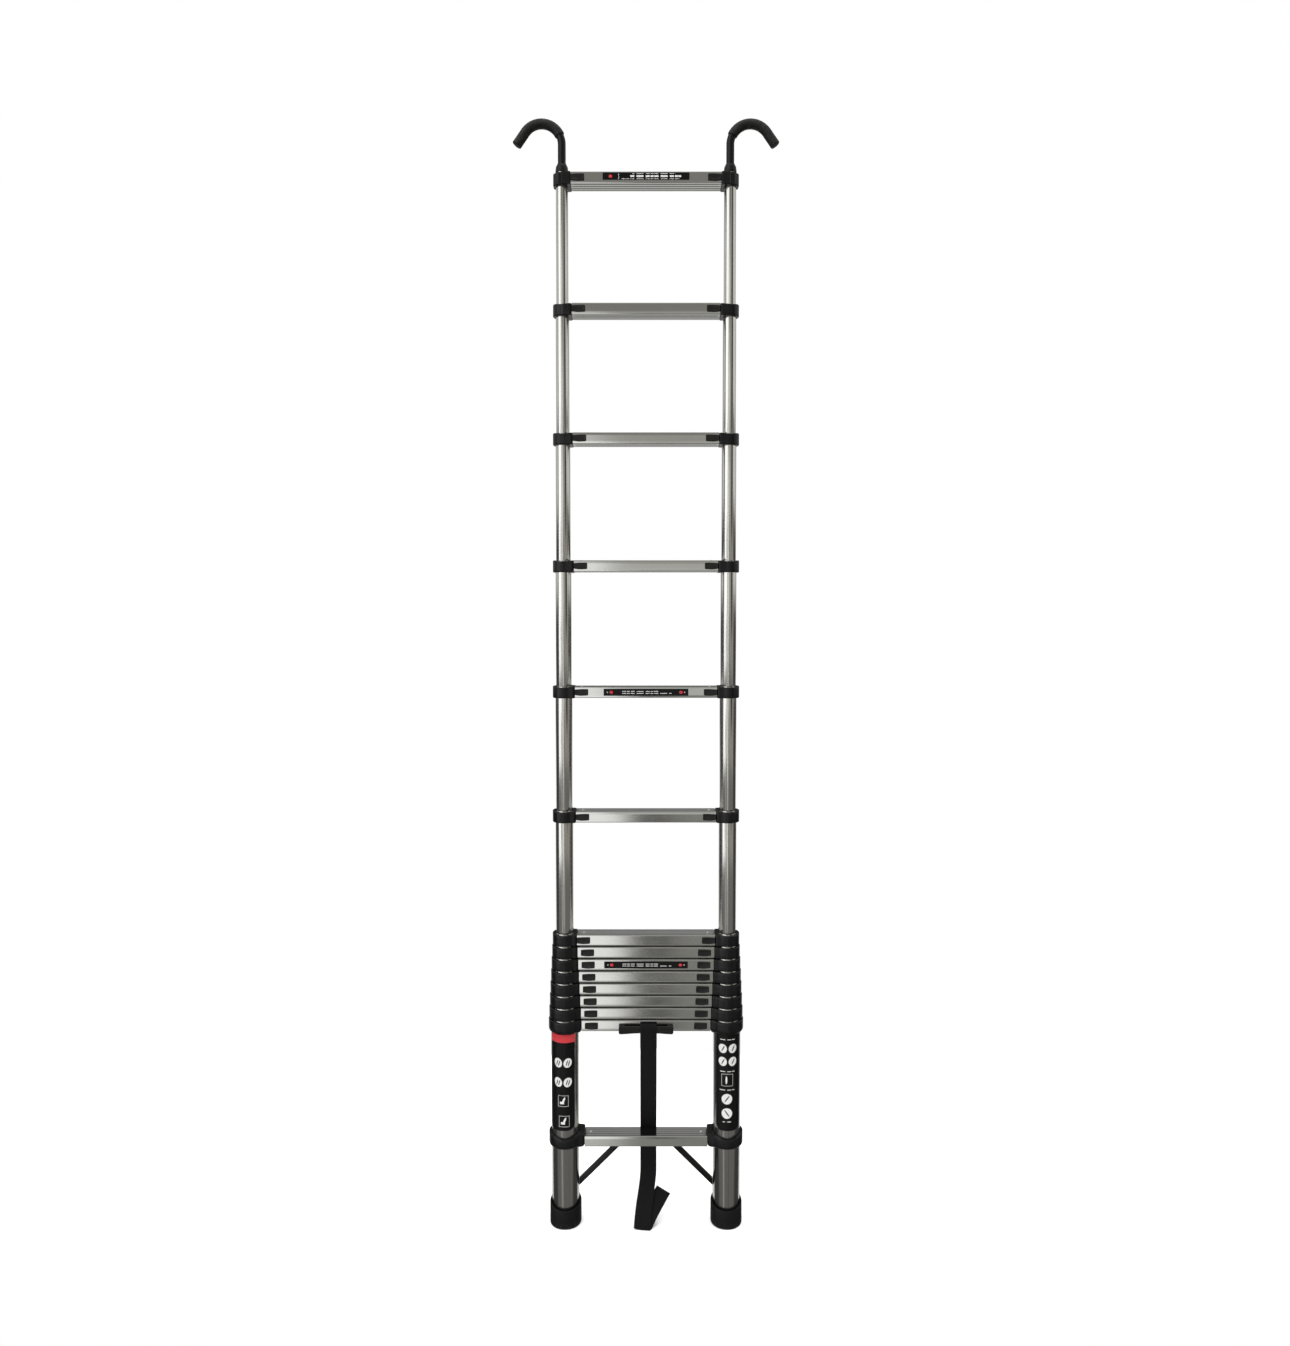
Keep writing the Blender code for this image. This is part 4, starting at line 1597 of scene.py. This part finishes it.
@dataclass
class TopHook:
    """A swivelling hook: a painted steel rod in a socket, with a foam sleeve over its bend.

    Attributes:
        rod: Radius of the rod.
        bend: Radius of the bend's middle line.
        turn: Angle that the bend turns through.
        tail: Length of the straight end.
        sleeve: Radius of the sleeve.
        sleeve_from: Angle of the bend where the sleeve starts.
        skirt: How far the socket's skirt hangs over the tube.
    """

    rod: float = 0.0093
    bend: float = 0.047
    turn: float = math.radians(145)
    tail: float = 0.036
    sleeve: float = 0.0117
    sleeve_from: float = math.radians(25)
    skirt: float = 0.0012

    def swept(
        self, stations: Array, radius: Array, foot: float, rise: float, side: Side, x: float
    ) -> Surface:
        """Circles carried up the shank, round the bend and down the tail.

        Up to the rise the middle line is straight. Over the bend it is an arc outwards, and past
        the turn it runs on straight.

        Args:
            stations: Lengths along the middle line, from its foot.
            radius: Radius at each of them.
            foot: Height of the line's foot.
            rise: Length of the shank below the bend.
            side: The side that the hook bends to.
            x: Place of the shank.

        Returns:
            The closed surface.
        """
        angle = np.clip((stations - rise) / self.bend, 0.0, self.turn)
        past = np.maximum(stations - rise - self.turn * self.bend, 0.0)
        out = self.bend * (1 - np.cos(angle)) + past * np.sin(angle)
        up = foot + np.minimum(stations, rise) + self.bend * np.sin(angle) + past * np.cos(angle)
        around = np.arange(36) * math.pi / 18
        spread = radius[:, None] * np.cos(around)
        points_x = x + side.value * (out[:, None] - spread * np.cos(angle)[:, None])
        points_z = up[:, None] + spread * np.sin(angle)[:, None]
        y = radius[:, None] * np.sin(around)
        return skin(np.stack([points_x, y, points_z], axis=-1))

    def build(self, ladder: Ladder, shop: Workshop) -> None:
        """Makes the rods, the sleeves with their end caps, and the sockets.

        Args:
            ladder: The shared sizes.
            shop: Makes and dresses the pieces.
        """
        for side in Side:
            low, high = (np.array(corner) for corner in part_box(f"hook_{side.word}"))
            foot = float(low[2])
            rise = float(high[2]) - self.sleeve - self.bend - foot
            x = side.value * ladder.half_spacing
            bend_end = rise + self.turn * self.bend
            end = bend_end + self.tail
            start = rise + self.sleeve_from * self.bend
            inside = end - 0.004
            stations = np.concatenate([[0.0, 0.0006], np.linspace(0.01, rise, 6)])
            stations = np.concatenate(
                [stations, np.linspace(rise, bend_end, 40)[1:], [inside - 0.001]]
            )
            radius = np.full(len(stations), self.rod)
            radius[0] -= 0.0006
            rod = self.swept(stations, radius, foot, rise, side, x)
            body, node = f"hook_{side.word}_body", f"hook_{side.word}"
            shop.piece(f"hook_rod_{side.word}", rod, HOOK_PAINT, "hook_paint", body, node)
            bore = self.rod + 0.0001
            tread = np.linspace(start + 0.004, end - 0.009, 46)
            ripple = 0.00012 * np.sin(tread * 900.0)
            lining = np.linspace(inside, start + 0.0006, 36)
            rows = np.vstack([[inside, 0.3 * bore], np.stack([lining, np.full(36, bore)], axis=-1)])
            mouth = [(start, bore + 0.0005), (start, self.sleeve - 0.0012)]
            rows = np.vstack([rows, mouth, [start + 0.0012, self.sleeve - 0.0002]])
            rows = np.vstack([rows, np.stack([tread, self.sleeve - 0.0002 + ripple], axis=-1)])
            cap = filleted(
                [
                    (end - 0.0065, self.sleeve - 0.0002, 0.0),
                    (end - 0.0058, self.sleeve - 0.0008, 0.0003),
                    (end - 0.0050, self.sleeve, 0.0004),
                    (end, self.sleeve, 0.0034),
                    (end, self.sleeve * 0.3, 0.0),
                ],
                closed=False,
            )
            rows = np.vstack([rows, cap])
            sleeve = self.swept(rows[:, 0], rows[:, 1], foot, rise, side, x)
            shop.piece(f"hook_sleeve_{side.word}", sleeve, HOOK_FOAM, "hook_paint", body, node)
            self.build_socket(side, x, shop)

    def build_socket(self, side: Side, x: float, shop: Workshop) -> None:
        """Makes a socket: a turned cup with a tapered shoulder and a thin flange on the tube.

        Args:
            side: The side of the ladder.
            x: Place of the socket.
            shop: Makes and dresses the pieces.
        """
        node = f"hook_socket_{side.word}"
        low, high = (np.array(corner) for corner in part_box(node))
        radius, bottom, top = float(high[0] - low[0]) / 2, float(low[2]), float(high[2])
        bore = self.rod + 0.0002
        tube_top = top - 0.019
        corners = [
            (bore * 0.4, bottom + 0.003, 0.0),
            (bore, bottom + 0.003, 0.0),
            (bore, top - 0.0005, 0.0),
        ]
        corners += [
            (bore + 0.0004, top, 0.0),
            (radius - 0.0014, top, 0.0006),
            (radius - 0.0010, top - 0.003, 0.0012),
        ]
        skirt, hem = radius + 0.0018, tube_top - self.skirt
        corners += [
            (radius + 0.0012, top - 0.0055, 0.0016), (skirt + 0.0008, tube_top + 0.0026, 0.0008)
        ]
        corners += [
            (skirt + 0.0008, hem + 0.0002, 0.0005),
            (skirt, hem, 0.0),
            (skirt, tube_top + 0.0004, 0.0),
        ]
        corners += [(radius, tube_top + 0.0003, 0.0), (radius, bottom + 0.0006, 0.0)]
        corners += [(radius - 0.0006, bottom, 0.0), (radius * 0.4, bottom, 0.0)]
        socket = turned(filleted(corners, closed=False), (x, 0.0, 0.0))
        body = f"section_{SECTION_COUNT}_frame"
        shop.piece(f"socket_{side.word}", socket, SOCKET_PLASTIC, "collar_plastic", body, node)


@dataclass
class CarryHandle:
    """The moulded carry handle on the front of the base rung.

    Attributes:
        knob: Length of the thick end at each side.
        arch: How far the underside rises between the ends.
        bar_back: How far behind its front the bar ends between the pads.
        end_round: Radius of its round ends.
    """

    knob: float = 0.016
    arch: float = 0.0024
    bar_back: float = 0.0094
    end_round: float = 0.0035

    def build(self, shop: Workshop) -> None:
        """Makes the handle: a rounded box section whose sides vary along X.

        The underside is an arch between two round ends. The back of the section reaches the rung
        only at the ends, which leaves room for the strap behind the middle.

        Args:
            shop: Makes and dresses the pieces.
        """
        low, high = (np.array(corner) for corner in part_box("carry_handle"))
        half = float(high[0])
        turn = np.linspace(0.0, math.pi / 2, 7)
        end_round = self.end_round
        right = np.concatenate(
            [np.linspace(0.0, half - 0.004, 30)[1:-1], half - end_round + end_round * np.sin(turn)]
        )
        x = np.concatenate([-right[::-1], [0.0], right])
        reach = np.abs(x)
        inset = end_round - np.sqrt(
            np.maximum(end_round**2 - np.maximum(reach - half + end_round, 0.0) ** 2, 0.0)
        )
        inset = np.minimum(inset, end_round * 0.95) * 0.8
        span = half - self.knob
        arched = self.arch * np.maximum(1 - (reach / span) ** 2, 0.0)
        swell = 0.0005 * np.cos(np.clip((reach - half + 0.007) / 0.007, -1.0, 1.0) * math.pi / 2)
        bottom = float(low[2]) + 0.0006 + arched - swell + inset
        top = float(high[2]) - 0.0004 * smooth_step((reach - span) / 0.01) - inset * 0.6
        front = float(low[1]) + inset * 0.8
        pad = smooth_step((reach - (half - 0.0155)) / 0.003)
        back = float(low[1]) + self.bar_back + (
            float(high[1]) - float(low[1]) - self.bar_back
        ) * pad - inset * 0.3
        signs = ((-1.0, -1.0), (1.0, -1.0), (1.0, 1.0), (-1.0, 1.0))
        unit = filleted([(*sign, 0.24) for sign in signs], steps=5)
        middle_y, half_y = (front + back) / 2, (back - front) / 2
        middle_z, half_z = (top + bottom) / 2, (top - bottom) / 2
        y = middle_y[:, None] + half_y[:, None] * unit[:, 0]
        z = middle_z[:, None] + half_z[:, None] * unit[:, 1]
        points = np.stack([np.broadcast_to(x[:, None], y.shape), y, z], axis=-1)
        shop.piece(
            "handle_grip", skin(points), HANDLE_PLASTIC, "handle_plastic", "base", "carry_handle"
        )


@dataclass
class CarryStrap:
    """The webbing strap: behind and over the handle, behind the lower rung, its end folded up.

    Attributes:
        width: Width of the webbing.
        thickness: Thickness of the webbing.
        offset: Place of its middle where it hangs straight.
        drift: How far its end drifts to the left.
        drift_height: Height where the drift starts.
        end_front: How far in front of the tubes it meets the ground.
        fold_angle: Angle between the fold and the weft.
        fold_radius: Radius of the fold.
        tail: Length of the folded end.
    """

    width: float = 0.040
    thickness: float = 0.002
    offset: float = 0.006
    drift: float = 0.0155
    drift_height: float = 0.125
    end_front: float = 0.038
    fold_angle: float = math.radians(13)
    fold_radius: float = 0.0016
    tail: float = 0.101

    def route(self, ladder: Ladder) -> list[tuple[float, float]]:
        """The strap's middle line as Y and Z, from behind the handle to the ground.

        Args:
            ladder: The shared sizes.

        Returns:
            The points that the smooth line runs through.
        """
        handle = np.array(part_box("carry_handle"))
        rung = np.array(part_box("lower_rung"))
        half = self.thickness / 2
        bar_front, bar_top, bar_bottom = float(handle[0, 1]), float(handle[1, 2]), float(
            handle[0, 2]
        )
        before = bar_front - GAP - half
        after = -ladder.rung_half_depth - 0.0026
        middle, loop = (before + after) / 2, (after - before) / 2
        over = [
            (middle + loop * math.cos(turn), bar_top + 0.9 * loop * math.sin(turn))
            for turn in (0.0, math.pi / 4, math.pi / 2, math.pi * 3 / 4)
        ]
        behind = float(rung[1, 1]) + half + 3 * GAP
        rung_top, rung_bottom = float(rung[1, 2]), float(rung[0, 2])
        hanging = [
            (before, bar_top),
            (before, bar_bottom),
            (before / 2, (bar_bottom + rung_top) / 2),
            (behind, rung_top),
            (behind, rung_bottom),
            (behind / 2, rung_bottom / 2),
            (-self.end_front, self.thickness),
        ]
        return [(after, bar_bottom + 0.0055), *over, *hanging]

    def build(self, ladder: Ladder, shop: Workshop) -> None:
        """Makes the strap, with its fold.

        A place on the flat strap is its length along it and its distance across. Past the fold's
        line, a place goes half a turn round a small radius and comes back behind the strap. The
        result is then carried along the route.

        Args:
            ladder: The shared sizes.
            shop: Makes and dresses the pieces.
        """
        length, route = smooth_route(self.route(ladder), 400)
        fold_at = length[-1]
        total = fold_at + self.tail
        along = np.concatenate(
            [
                np.linspace(0.0, fold_at - 0.03, 230),
                np.linspace(fold_at - 0.03, fold_at + 0.03, 110)[1:],
                np.linspace(fold_at + 0.03, total, 50)[1:],
            ]
        )
        turn = np.arange(48) * 2 * math.pi / 48
        half = self.width / 2
        ring_u = half * np.sign(np.cos(turn)) * np.abs(np.cos(turn)) ** 0.45
        ring_t = self.thickness / 2 * np.sign(np.sin(turn)) * np.abs(np.sin(turn)) ** 0.45
        s = np.broadcast_to(along[:, None], (len(along), len(turn)))
        u = np.broadcast_to(ring_u, s.shape)
        t = np.broadcast_to(ring_t, s.shape)
        run, slope = math.cos(self.fold_angle), math.sin(self.fold_angle)
        depth = (s - fold_at) * run - u * slope
        bent = np.clip(depth / self.fold_radius, 0.0, math.pi)
        past = np.maximum(depth - math.pi * self.fold_radius, 0.0)
        reach = np.minimum(depth, 0.0) + self.fold_radius * np.sin(bent) - past
        behind = self.fold_radius * (1 - np.cos(bent)) + past * 0.05
        shift = reach - depth - t * np.sin(bent)
        flat_s, flat_u = s + shift * run, u - shift * slope
        lift = t * np.cos(bent) + behind
        y, z = (np.interp(flat_s, length, route[:, axis]) for axis in (0, 1))
        step = 0.002
        middle = np.clip(flat_s, step, fold_at - step)
        ahead, back = (
            [
                np.interp(middle + move, length, route[:, axis]) for axis in (0, 1)
            ] for move in (step, -step)
        )
        run_y, run_z = ahead[0] - back[0], ahead[1] - back[1]
        size = np.hypot(run_y, run_z)
        past_end = np.maximum(flat_s - fold_at, 0.0)
        y = y - run_z / size * lift + past_end * run_y / size
        z = z + run_y / size * lift + past_end * run_z / size
        x = self.offset - self.drift * smooth_step(1 - z / self.drift_height) + flat_u
        z = np.maximum(z, 0.0004)
        points, chart = np.stack([x, y, z], axis=-1), np.stack([u, s], axis=-1)
        surface = skin(points, chart=chart)
        strap = shop.piece(
            "strap_webbing", surface, STRAP_WEBBING, "strap_webbing", "base", "carry_strap"
        )
        log.info("strap: %.3f m long", total)


@dataclass
class TubeLabel:
    """A label wrapped round the front of a base tube, with round lower corners.

    Attributes:
        side: The side of the ladder.
        top: Height of its upper edge.
        bottom: Height of its lower edge.
        start: Angle of its left edge, 0 at the front.
        end: Angle of its right edge.
        corner: Height over which its lower corners are round.
        film: Thickness of the film.
        marks: The marks on it.
    """

    side: Side
    marks: tuple[Mark, ...]
    top: float = 0.4815
    bottom: float = 0.2445
    start: float = math.radians(-84)
    end: float = math.radians(46)
    corner: float = 0.016
    film: float = 0.00025

    def build(self, ladder: Ladder, shop: Workshop) -> None:
        """Makes the label: a thin wall whose lower edge rises towards its sides.

        Args:
            ladder: The shared sizes.
            shop: Makes and dresses the pieces.
        """
        radius = ladder.base_radius + GAP / 2
        angle = np.linspace(self.start, self.end, 49)
        share = np.abs(np.linspace(-1.0, 1.0, 49))
        rise = self.corner * (
            1 - np.sqrt(np.maximum(1 - np.maximum(share * 1.8 - 0.8, 0.0) ** 2, 0.0))
        )
        low = self.bottom + rise
        up = np.linspace(0.0, 1.0, 12)[:, None]
        z = low + (self.top - low) * up
        x = self.side.value * ladder.half_spacing + radius * np.sin(angle)
        y = -radius * np.cos(angle)
        inner = np.stack([np.broadcast_to(x, z.shape), np.broadcast_to(y, z.shape), z], axis=-1)
        out = np.stack([np.sin(angle), -np.cos(angle), np.zeros_like(angle)], axis=-1) * self.film
        chart = np.stack([np.broadcast_to(angle * radius, z.shape), z], axis=-1)
        surface = wall(inner + out, inner, wrapped=False, chart=chart)
        finish = PrintedLabel(f"tube_label_{self.side.word}", self.marks)
        shop.piece(f"tube_label_{self.side.word}", surface, finish, "steel", "base")


@dataclass
class RungLabel:
    """A narrow label on the front of a rung, with plain bars for its print.

    Attributes:
        plan: The section.
        half_length: Half its length.
        half_height: Half its height.
        aside: Place of its middle.
        up: Its height above the rung's middle.
        film: Thickness of the film.
        marks: The marks on it.
    """

    plan: SectionPlan
    half_length: float
    half_height: float
    marks: tuple[Mark, ...]
    aside: float = 0.0
    up: float = 0.0
    film: float = 0.0003

    def build(self, ladder: Ladder, shop: Workshop) -> None:
        """Makes the label: a thin plate with round corners.

        Args:
            ladder: The shared sizes.
            shop: Makes and dresses the pieces.
        """
        long, tall, middle = self.half_length, self.half_height, self.plan.height + self.up
        left, right = self.aside - long, self.aside + long
        corners = [(left, middle - tall, 0.0018), (right, middle - tall, 0.0018)]
        corners += [(right, middle + tall, 0.0018), (left, middle + tall, 0.0018)]
        front = -ladder.rung_half_depth
        surface = layered(filleted(corners), [(front + 0.0001, 0.0), (front - self.film, 0.0)])
        surface.chart = surface.points[:, [0, 2]] - np.array([self.aside, middle])
        name = f"rung_label_{self.plan.number:02d}"
        finish = PrintedLabel(name, self.marks)
        shop.piece(name, surface, finish, "section_steel", self.plan.body)


# ---------------------------------------------------------------------------------------------
# Print on the labels
# ---------------------------------------------------------------------------------------------


def left_marks() -> tuple[Mark, ...]:
    """Plain shapes on the left base label: a red band, two rows of ovals and two frames."""
    marks = [Mark("box", 0.0, 0.4730, (0.060, 0.0110), red=True)]
    for height in (0.4125, 0.3645):
        for across, lean in ((-0.0158, -0.10), (0.0084, 0.12)):
            marks.append(Mark("ellipse", across, height, (0.0102, 0.0116), lean=lean))
            marks.append(
                Mark("ellipse", across - 0.0022, height, (0.0014, 0.0068), lean=0.3, dark=True)
            )
            marks.append(Mark("ellipse", across + 0.0030, height - 0.001, (0.0014, 0.0072), lean=0.3, dark=True))
    for across, height in ((-0.0030, 0.3184), (-0.0008, 0.2680)):
        marks.append(Mark("frame", across, height, (0.0128, 0.0136)))
        marks.append(Mark("ellipse", across + 0.0010, height + 0.0020, (0.0026, 0.0075), lean=0.4))
        marks.append(Mark("box", across - 0.0030, height - 0.0045, (0.0050, 0.0030)))
    return tuple(marks)


def right_marks() -> tuple[Mark, ...]:
    """Plain shapes on the right base label: ovals, thin lines and a frame."""
    rows = ((0.4700, 0.0185), (0.3915, 0.0180), (0.3460, 0.0190), (0.2670, 0.0110))
    marks = [Mark("dashes", -0.0005, height, (half, 0.0009)) for height, half in rows]
    for height in (0.4480, 0.4160):
        for across, lean in ((-0.0125, -0.08), (0.0125, 0.08)):
            marks.append(Mark("ellipse", across, height, (0.0103, 0.0112), lean=lean))
            marks.append(
                Mark("ellipse", across + 0.0010, height, (0.0016, 0.0070), lean=0.5, dark=True)
            )
    marks += [
        Mark("frame", -0.0010, 0.3705, (0.0140, 0.0150)),
        Mark("ellipse", -0.003, 0.3705, (0.0022, 0.0100)),
    ]
    marks += [Mark("ellipse", -0.0015, height, (0.0130, 0.0130)) for height in (0.3235, 0.2880)]
    for height, lean in ((0.3235, 0.7), (0.2880, -0.7)):
        marks.append(Mark("ellipse", -0.0015, height, (0.0018, 0.0085), lean=lean, dark=True))
    return tuple(marks)


def strip_marks(half_length: float, both_ends: bool) -> tuple[Mark, ...]:
    """Plain dashes and spots on a rung's label.

    Args:
        half_length: Half the label's length.
        both_ends: Whether a red spot ends the label as well as starting it.

    Returns:
        The marks.
    """
    marks = [Mark("ellipse", -half_length + 0.018, 0.0, (0.0042, 0.0036), red=True)]
    if both_ends:
        marks.append(Mark("ellipse", half_length - 0.018, 0.0, (0.0042, 0.0036), red=True))
        marks.append(Mark("ellipse", -half_length + 0.009, 0.0, (0.0018, 0.0010)))
        marks.append(Mark("ellipse", half_length - 0.009, 0.0, (0.0018, 0.0010)))
    else:
        marks.append(Mark("box", -half_length + 0.0375, 0.0, (0.0004, 0.0068)))
    if both_ends:
        rows = ((-0.0150, 0.0022, 0.0470, 0.0008), (0.0, -0.0026, 0.0610, 0.0008))
    else:
        rows = (
            (0.0220, 0.0, 0.0600, 0.0021),
            (0.0180, 0.0060, 0.0500, 0.0005),
            (0.0100, -0.0060, 0.0680, 0.0005),
        )
    marks += [Mark("dashes", middle, up, (half, tall)) for middle, up, half, tall in rows]
    return tuple(marks)


# ---------------------------------------------------------------------------------------------
# Studio
# ---------------------------------------------------------------------------------------------


@dataclass(frozen=True)
class Panel:
    """A soft-edged patch of the surroundings, as seen from the ladder.

    Attributes:
        compass: First and last direction in degrees, 0 in front and growing to the ladder's right.
        rise: Lowest and highest elevation in degrees.
        colour: Colour of the patch, which covers what lies under it.
        soft: Width of its edges in degrees.
    """

    compass: tuple[float, float]
    rise: tuple[float, float]
    colour: tuple[float, float, float]
    soft: float = 3.0

    def cover(self, compass: Wire, rise: Wire) -> Wire:
        """How much the patch covers a direction, from 0 to 1."""
        masks = [
            value.fade(edges[0] - self.soft / 2, edges[0] + self.soft / 2)
            * (1.0 - value.fade(edges[1] - self.soft / 2, edges[1] + self.soft / 2))
            for value, edges in ((compass, self.compass), (rise, self.rise))
        ]
        return masks[0] * masks[1]


@dataclass
class Studio:
    """The pale floor, the soft light round the ladder and the camera.

    Attributes:
        floor_radius: Radius of the floor.
        eye: Place of the camera.
        tilt: How far the camera looks down, in radians.
        lens: Focal length in millimetres.
        overhead_size: Side of the light above.
        overhead_height: Height of the light above.
        overhead_power: Power of the light above in watts.
    """

    floor_radius: float = 0.9
    eye: tuple[float, float, float] = (-0.0024, -2.382, 1.471)
    tilt: float = math.radians(2.79)
    lens: float = 26.53
    overhead_size: float = 6.0
    overhead_height: float = 6.0
    overhead_power: float = 700.0

    def panels(self) -> list[Panel]:
        """The patches, from the lowest layer to the top one."""
        warm, white, pale = (0.31, 0.295, 0.26), (1.30, 1.30, 1.29), (0.55, 0.55, 0.53)
        side, line, dark = (0.62, 0.62, 0.605), (0.05, 0.05, 0.047), (0.050, 0.050, 0.050)
        back, brown, grey = (0.10, 0.10, 0.098), (0.150, 0.147, 0.140), (0.085, 0.085, 0.080)
        return [
            Panel((-185.0, 185.0), (-100.0, 100.0), dark, 1.0),
            Panel((-15.0, 76.0), (-100.0, 100.0), warm, 6.0),
            Panel((32.0, 58.0), (-12.0, 100.0), line, 5.0),
            Panel((62.0, 140.0), (-2.0, 100.0), side, 6.0),
            Panel((-140.0, -86.0), (-2.0, 100.0), side, 6.0),
            Panel((-72.0, -25.0), (-100.0, 100.0), white, 6.0),
            Panel((-40.0, -31.0), (-18.0, -9.0), line, 5.0),
            Panel((-25.0, -15.0), (-100.0, 100.0), pale, 5.0),
            Panel((-185.0, -135.0), (-8.0, 100.0), back, 20.0),
            Panel((135.0, 185.0), (-8.0, 100.0), back, 20.0),
            Panel((-80.0, 80.0), (-100.0, -21.0), brown, 5.0),
            Panel((-36.0, -25.0), (-100.0, -21.0), (0.40, 0.40, 0.385), 5.0),
            Panel((-14.0, 14.0), (-8.0, 5.0), (0.45, 0.45, 0.43), 4.0),
            Panel((-14.0, 14.0), (5.0, 14.0), (0.32, 0.315, 0.29), 6.0),
            Panel((-14.0, 14.0), (14.0, 40.0), (0.205, 0.20, 0.185), 5.0),
            Panel((-12.0, -2.2), (-8.0, 7.0), (0.90, 0.90, 0.89), 1.2),
            Panel((-12.0, -2.5), (7.0, 14.0), (0.58, 0.58, 0.57), 1.2),
            Panel((-12.0, -1.05), (-26.0, -8.0), (0.92, 0.92, 0.91), 0.9),
            Panel((-1.05, 1.7), (-26.0, -8.0), grey, 0.9),
            Panel((1.7, 14.0), (-26.0, -8.0), (0.22, 0.22, 0.205), 1.1),
            Panel((-12.0, -1.3), (-40.0, -26.0), (0.50, 0.50, 0.48), 1.6),
            Panel((-1.3, 14.0), (-40.0, -26.0), (0.215, 0.215, 0.20), 1.6),
            Panel((140.0, 185.0), (-60.0, -8.0), (0.80, 0.80, 0.78), 8.0),
            Panel((-185.0, -140.0), (-60.0, -8.0), (0.80, 0.80, 0.78), 8.0),
            Panel((-185.0, 185.0), (56.0, 100.0), (0.62, 0.62, 0.62), 16.0),
        ]

    def build_floor(self) -> None:
        """A flat pale disc, made of rings that widen outwards."""
        angle = np.arange(96) * math.pi / 48
        radius = np.array([0.2, 0.5, self.floor_radius, self.floor_radius + 0.1])[:, None]
        height = np.array([0.0, 0.0, 0.0, -0.0005])[:, None] - 0.0002
        x, y = radius * np.cos(angle), radius * np.sin(angle)
        floor = skin(np.stack([x, y, np.broadcast_to(height, x.shape)], axis=-1)).to_object("floor")
        made, graph = material_graph("floor_pale")
        mottle = graph.noise(graph.place(), 3.0, 2.0)
        colour = graph.mix(mottle, (0.92, 0.92, 0.92), (0.94, 0.94, 0.94))
        surface_shader(graph, {"Base Color": colour, "Roughness": 0.9, "Specular IOR Level": 0.0})
        floor.data.materials.append(made)
        floor.visible_glossy = False

    def build_world(self) -> None:
        """White to look at; for all else, the panels laid over each other."""
        world = bpy.data.worlds.new("studio")
        bpy.context.scene.world = world
        world.use_nodes = True
        world.node_tree.nodes.clear()
        graph = Graph(world.node_tree)
        x, y, z = graph.split(graph.node("ShaderNodeTexCoord").outputs["Generated"])
        compass = x.math("ARCTAN2", y * -1.0) * (180 / math.pi)
        rise = z.math("ARCSINE") * (180 / math.pi)
        colour: object = (0.0, 0.0, 0.0)
        for panel in self.panels():
            colour = graph.mix(panel.cover(compass, rise), colour, panel.colour)
        seen = Wire(graph, graph.node("ShaderNodeLightPath").outputs["Is Camera Ray"])
        background = graph.node(
            "ShaderNodeBackground", None, {"Color": graph.mix(seen, colour, (1.0, 1.0, 1.0))}
        )
        graph.node("ShaderNodeOutputWorld", None, {"Surface": background.outputs[0]})

    def build_lights(self) -> None:
        """One wide soft light above."""
        light = bpy.data.lights.new("overhead", "AREA")
        light.shape, light.size, light.energy = "SQUARE", self.overhead_size, self.overhead_power
        lamp = bpy.data.objects.new("overhead", light)
        lamp.location = (0.0, -0.5, self.overhead_height)
        lamp.visible_glossy = False
        bpy.context.scene.collection.objects.link(lamp)

    def build_camera(self) -> None:
        """A level camera in front of the ladder, tilted slightly down."""
        camera = bpy.data.cameras.new("camera")
        camera.lens, camera.sensor_width = self.lens, 36.0
        camera.clip_end = 200.0
        holder = bpy.data.objects.new("camera", camera)
        holder.location = self.eye
        holder.rotation_euler = (math.pi / 2 - self.tilt, 0.0, 0.0)
        bpy.context.scene.collection.objects.link(holder)
        bpy.context.scene.camera = holder
        bpy.context.scene.view_settings.view_transform = "Standard"

    def build(self) -> None:
        """Makes the whole studio."""
        self.build_floor()
        self.build_world()
        self.build_lights()
        self.build_camera()


def main() -> None:
    """Builds every sub-assembly and reports its pieces."""
    logging.basicConfig(level=logging.INFO, format="%(name)s %(message)s")
    ladder, shop, studio = Ladder.from_frame(), Workshop(), Studio()
    studio.build()
    plans = {
        number: SectionPlan.from_frame(ladder, number) for number in range(1, SECTION_COUNT + 1)
    }
    for number, plan in plans.items():
        collar = Collar()
        if number == 1:
            collar = Collar(bottom_round=0.0090, drop=0.0035)
        elif number == SECTION_COUNT:
            collar = Collar(facets=True, dip=0.0, top_round=0.0030, bottom_round=0.0022)
        Section(plan, collar=collar).build(ladder, shop)
    LowerStep().build(ladder, shop)
    RubberFoot().build(ladder, shop)
    TopHook().build(ladder, shop)
    CarryHandle().build(shop)
    CarryStrap().build(ladder, shop)
    TubeLabel(Side.LEFT, left_marks()).build(ladder, shop)
    TubeLabel(Side.RIGHT, right_marks(), start=math.radians(-52), end=math.radians(54)).build(
        ladder, shop
    )
    for number, both_ends in ((6, True), (10, True), (14, False)):
        half_length, raised = 0.1010, 0.0022 if number == SECTION_COUNT else 0.0
        marks = strip_marks(half_length, both_ends)
        RungLabel(plans[number], half_length, 0.0084, marks, up=raised).build(ladder, shop)
    log.info("%d pieces in all", shop.count)


if __name__ == "__main__":
    main()
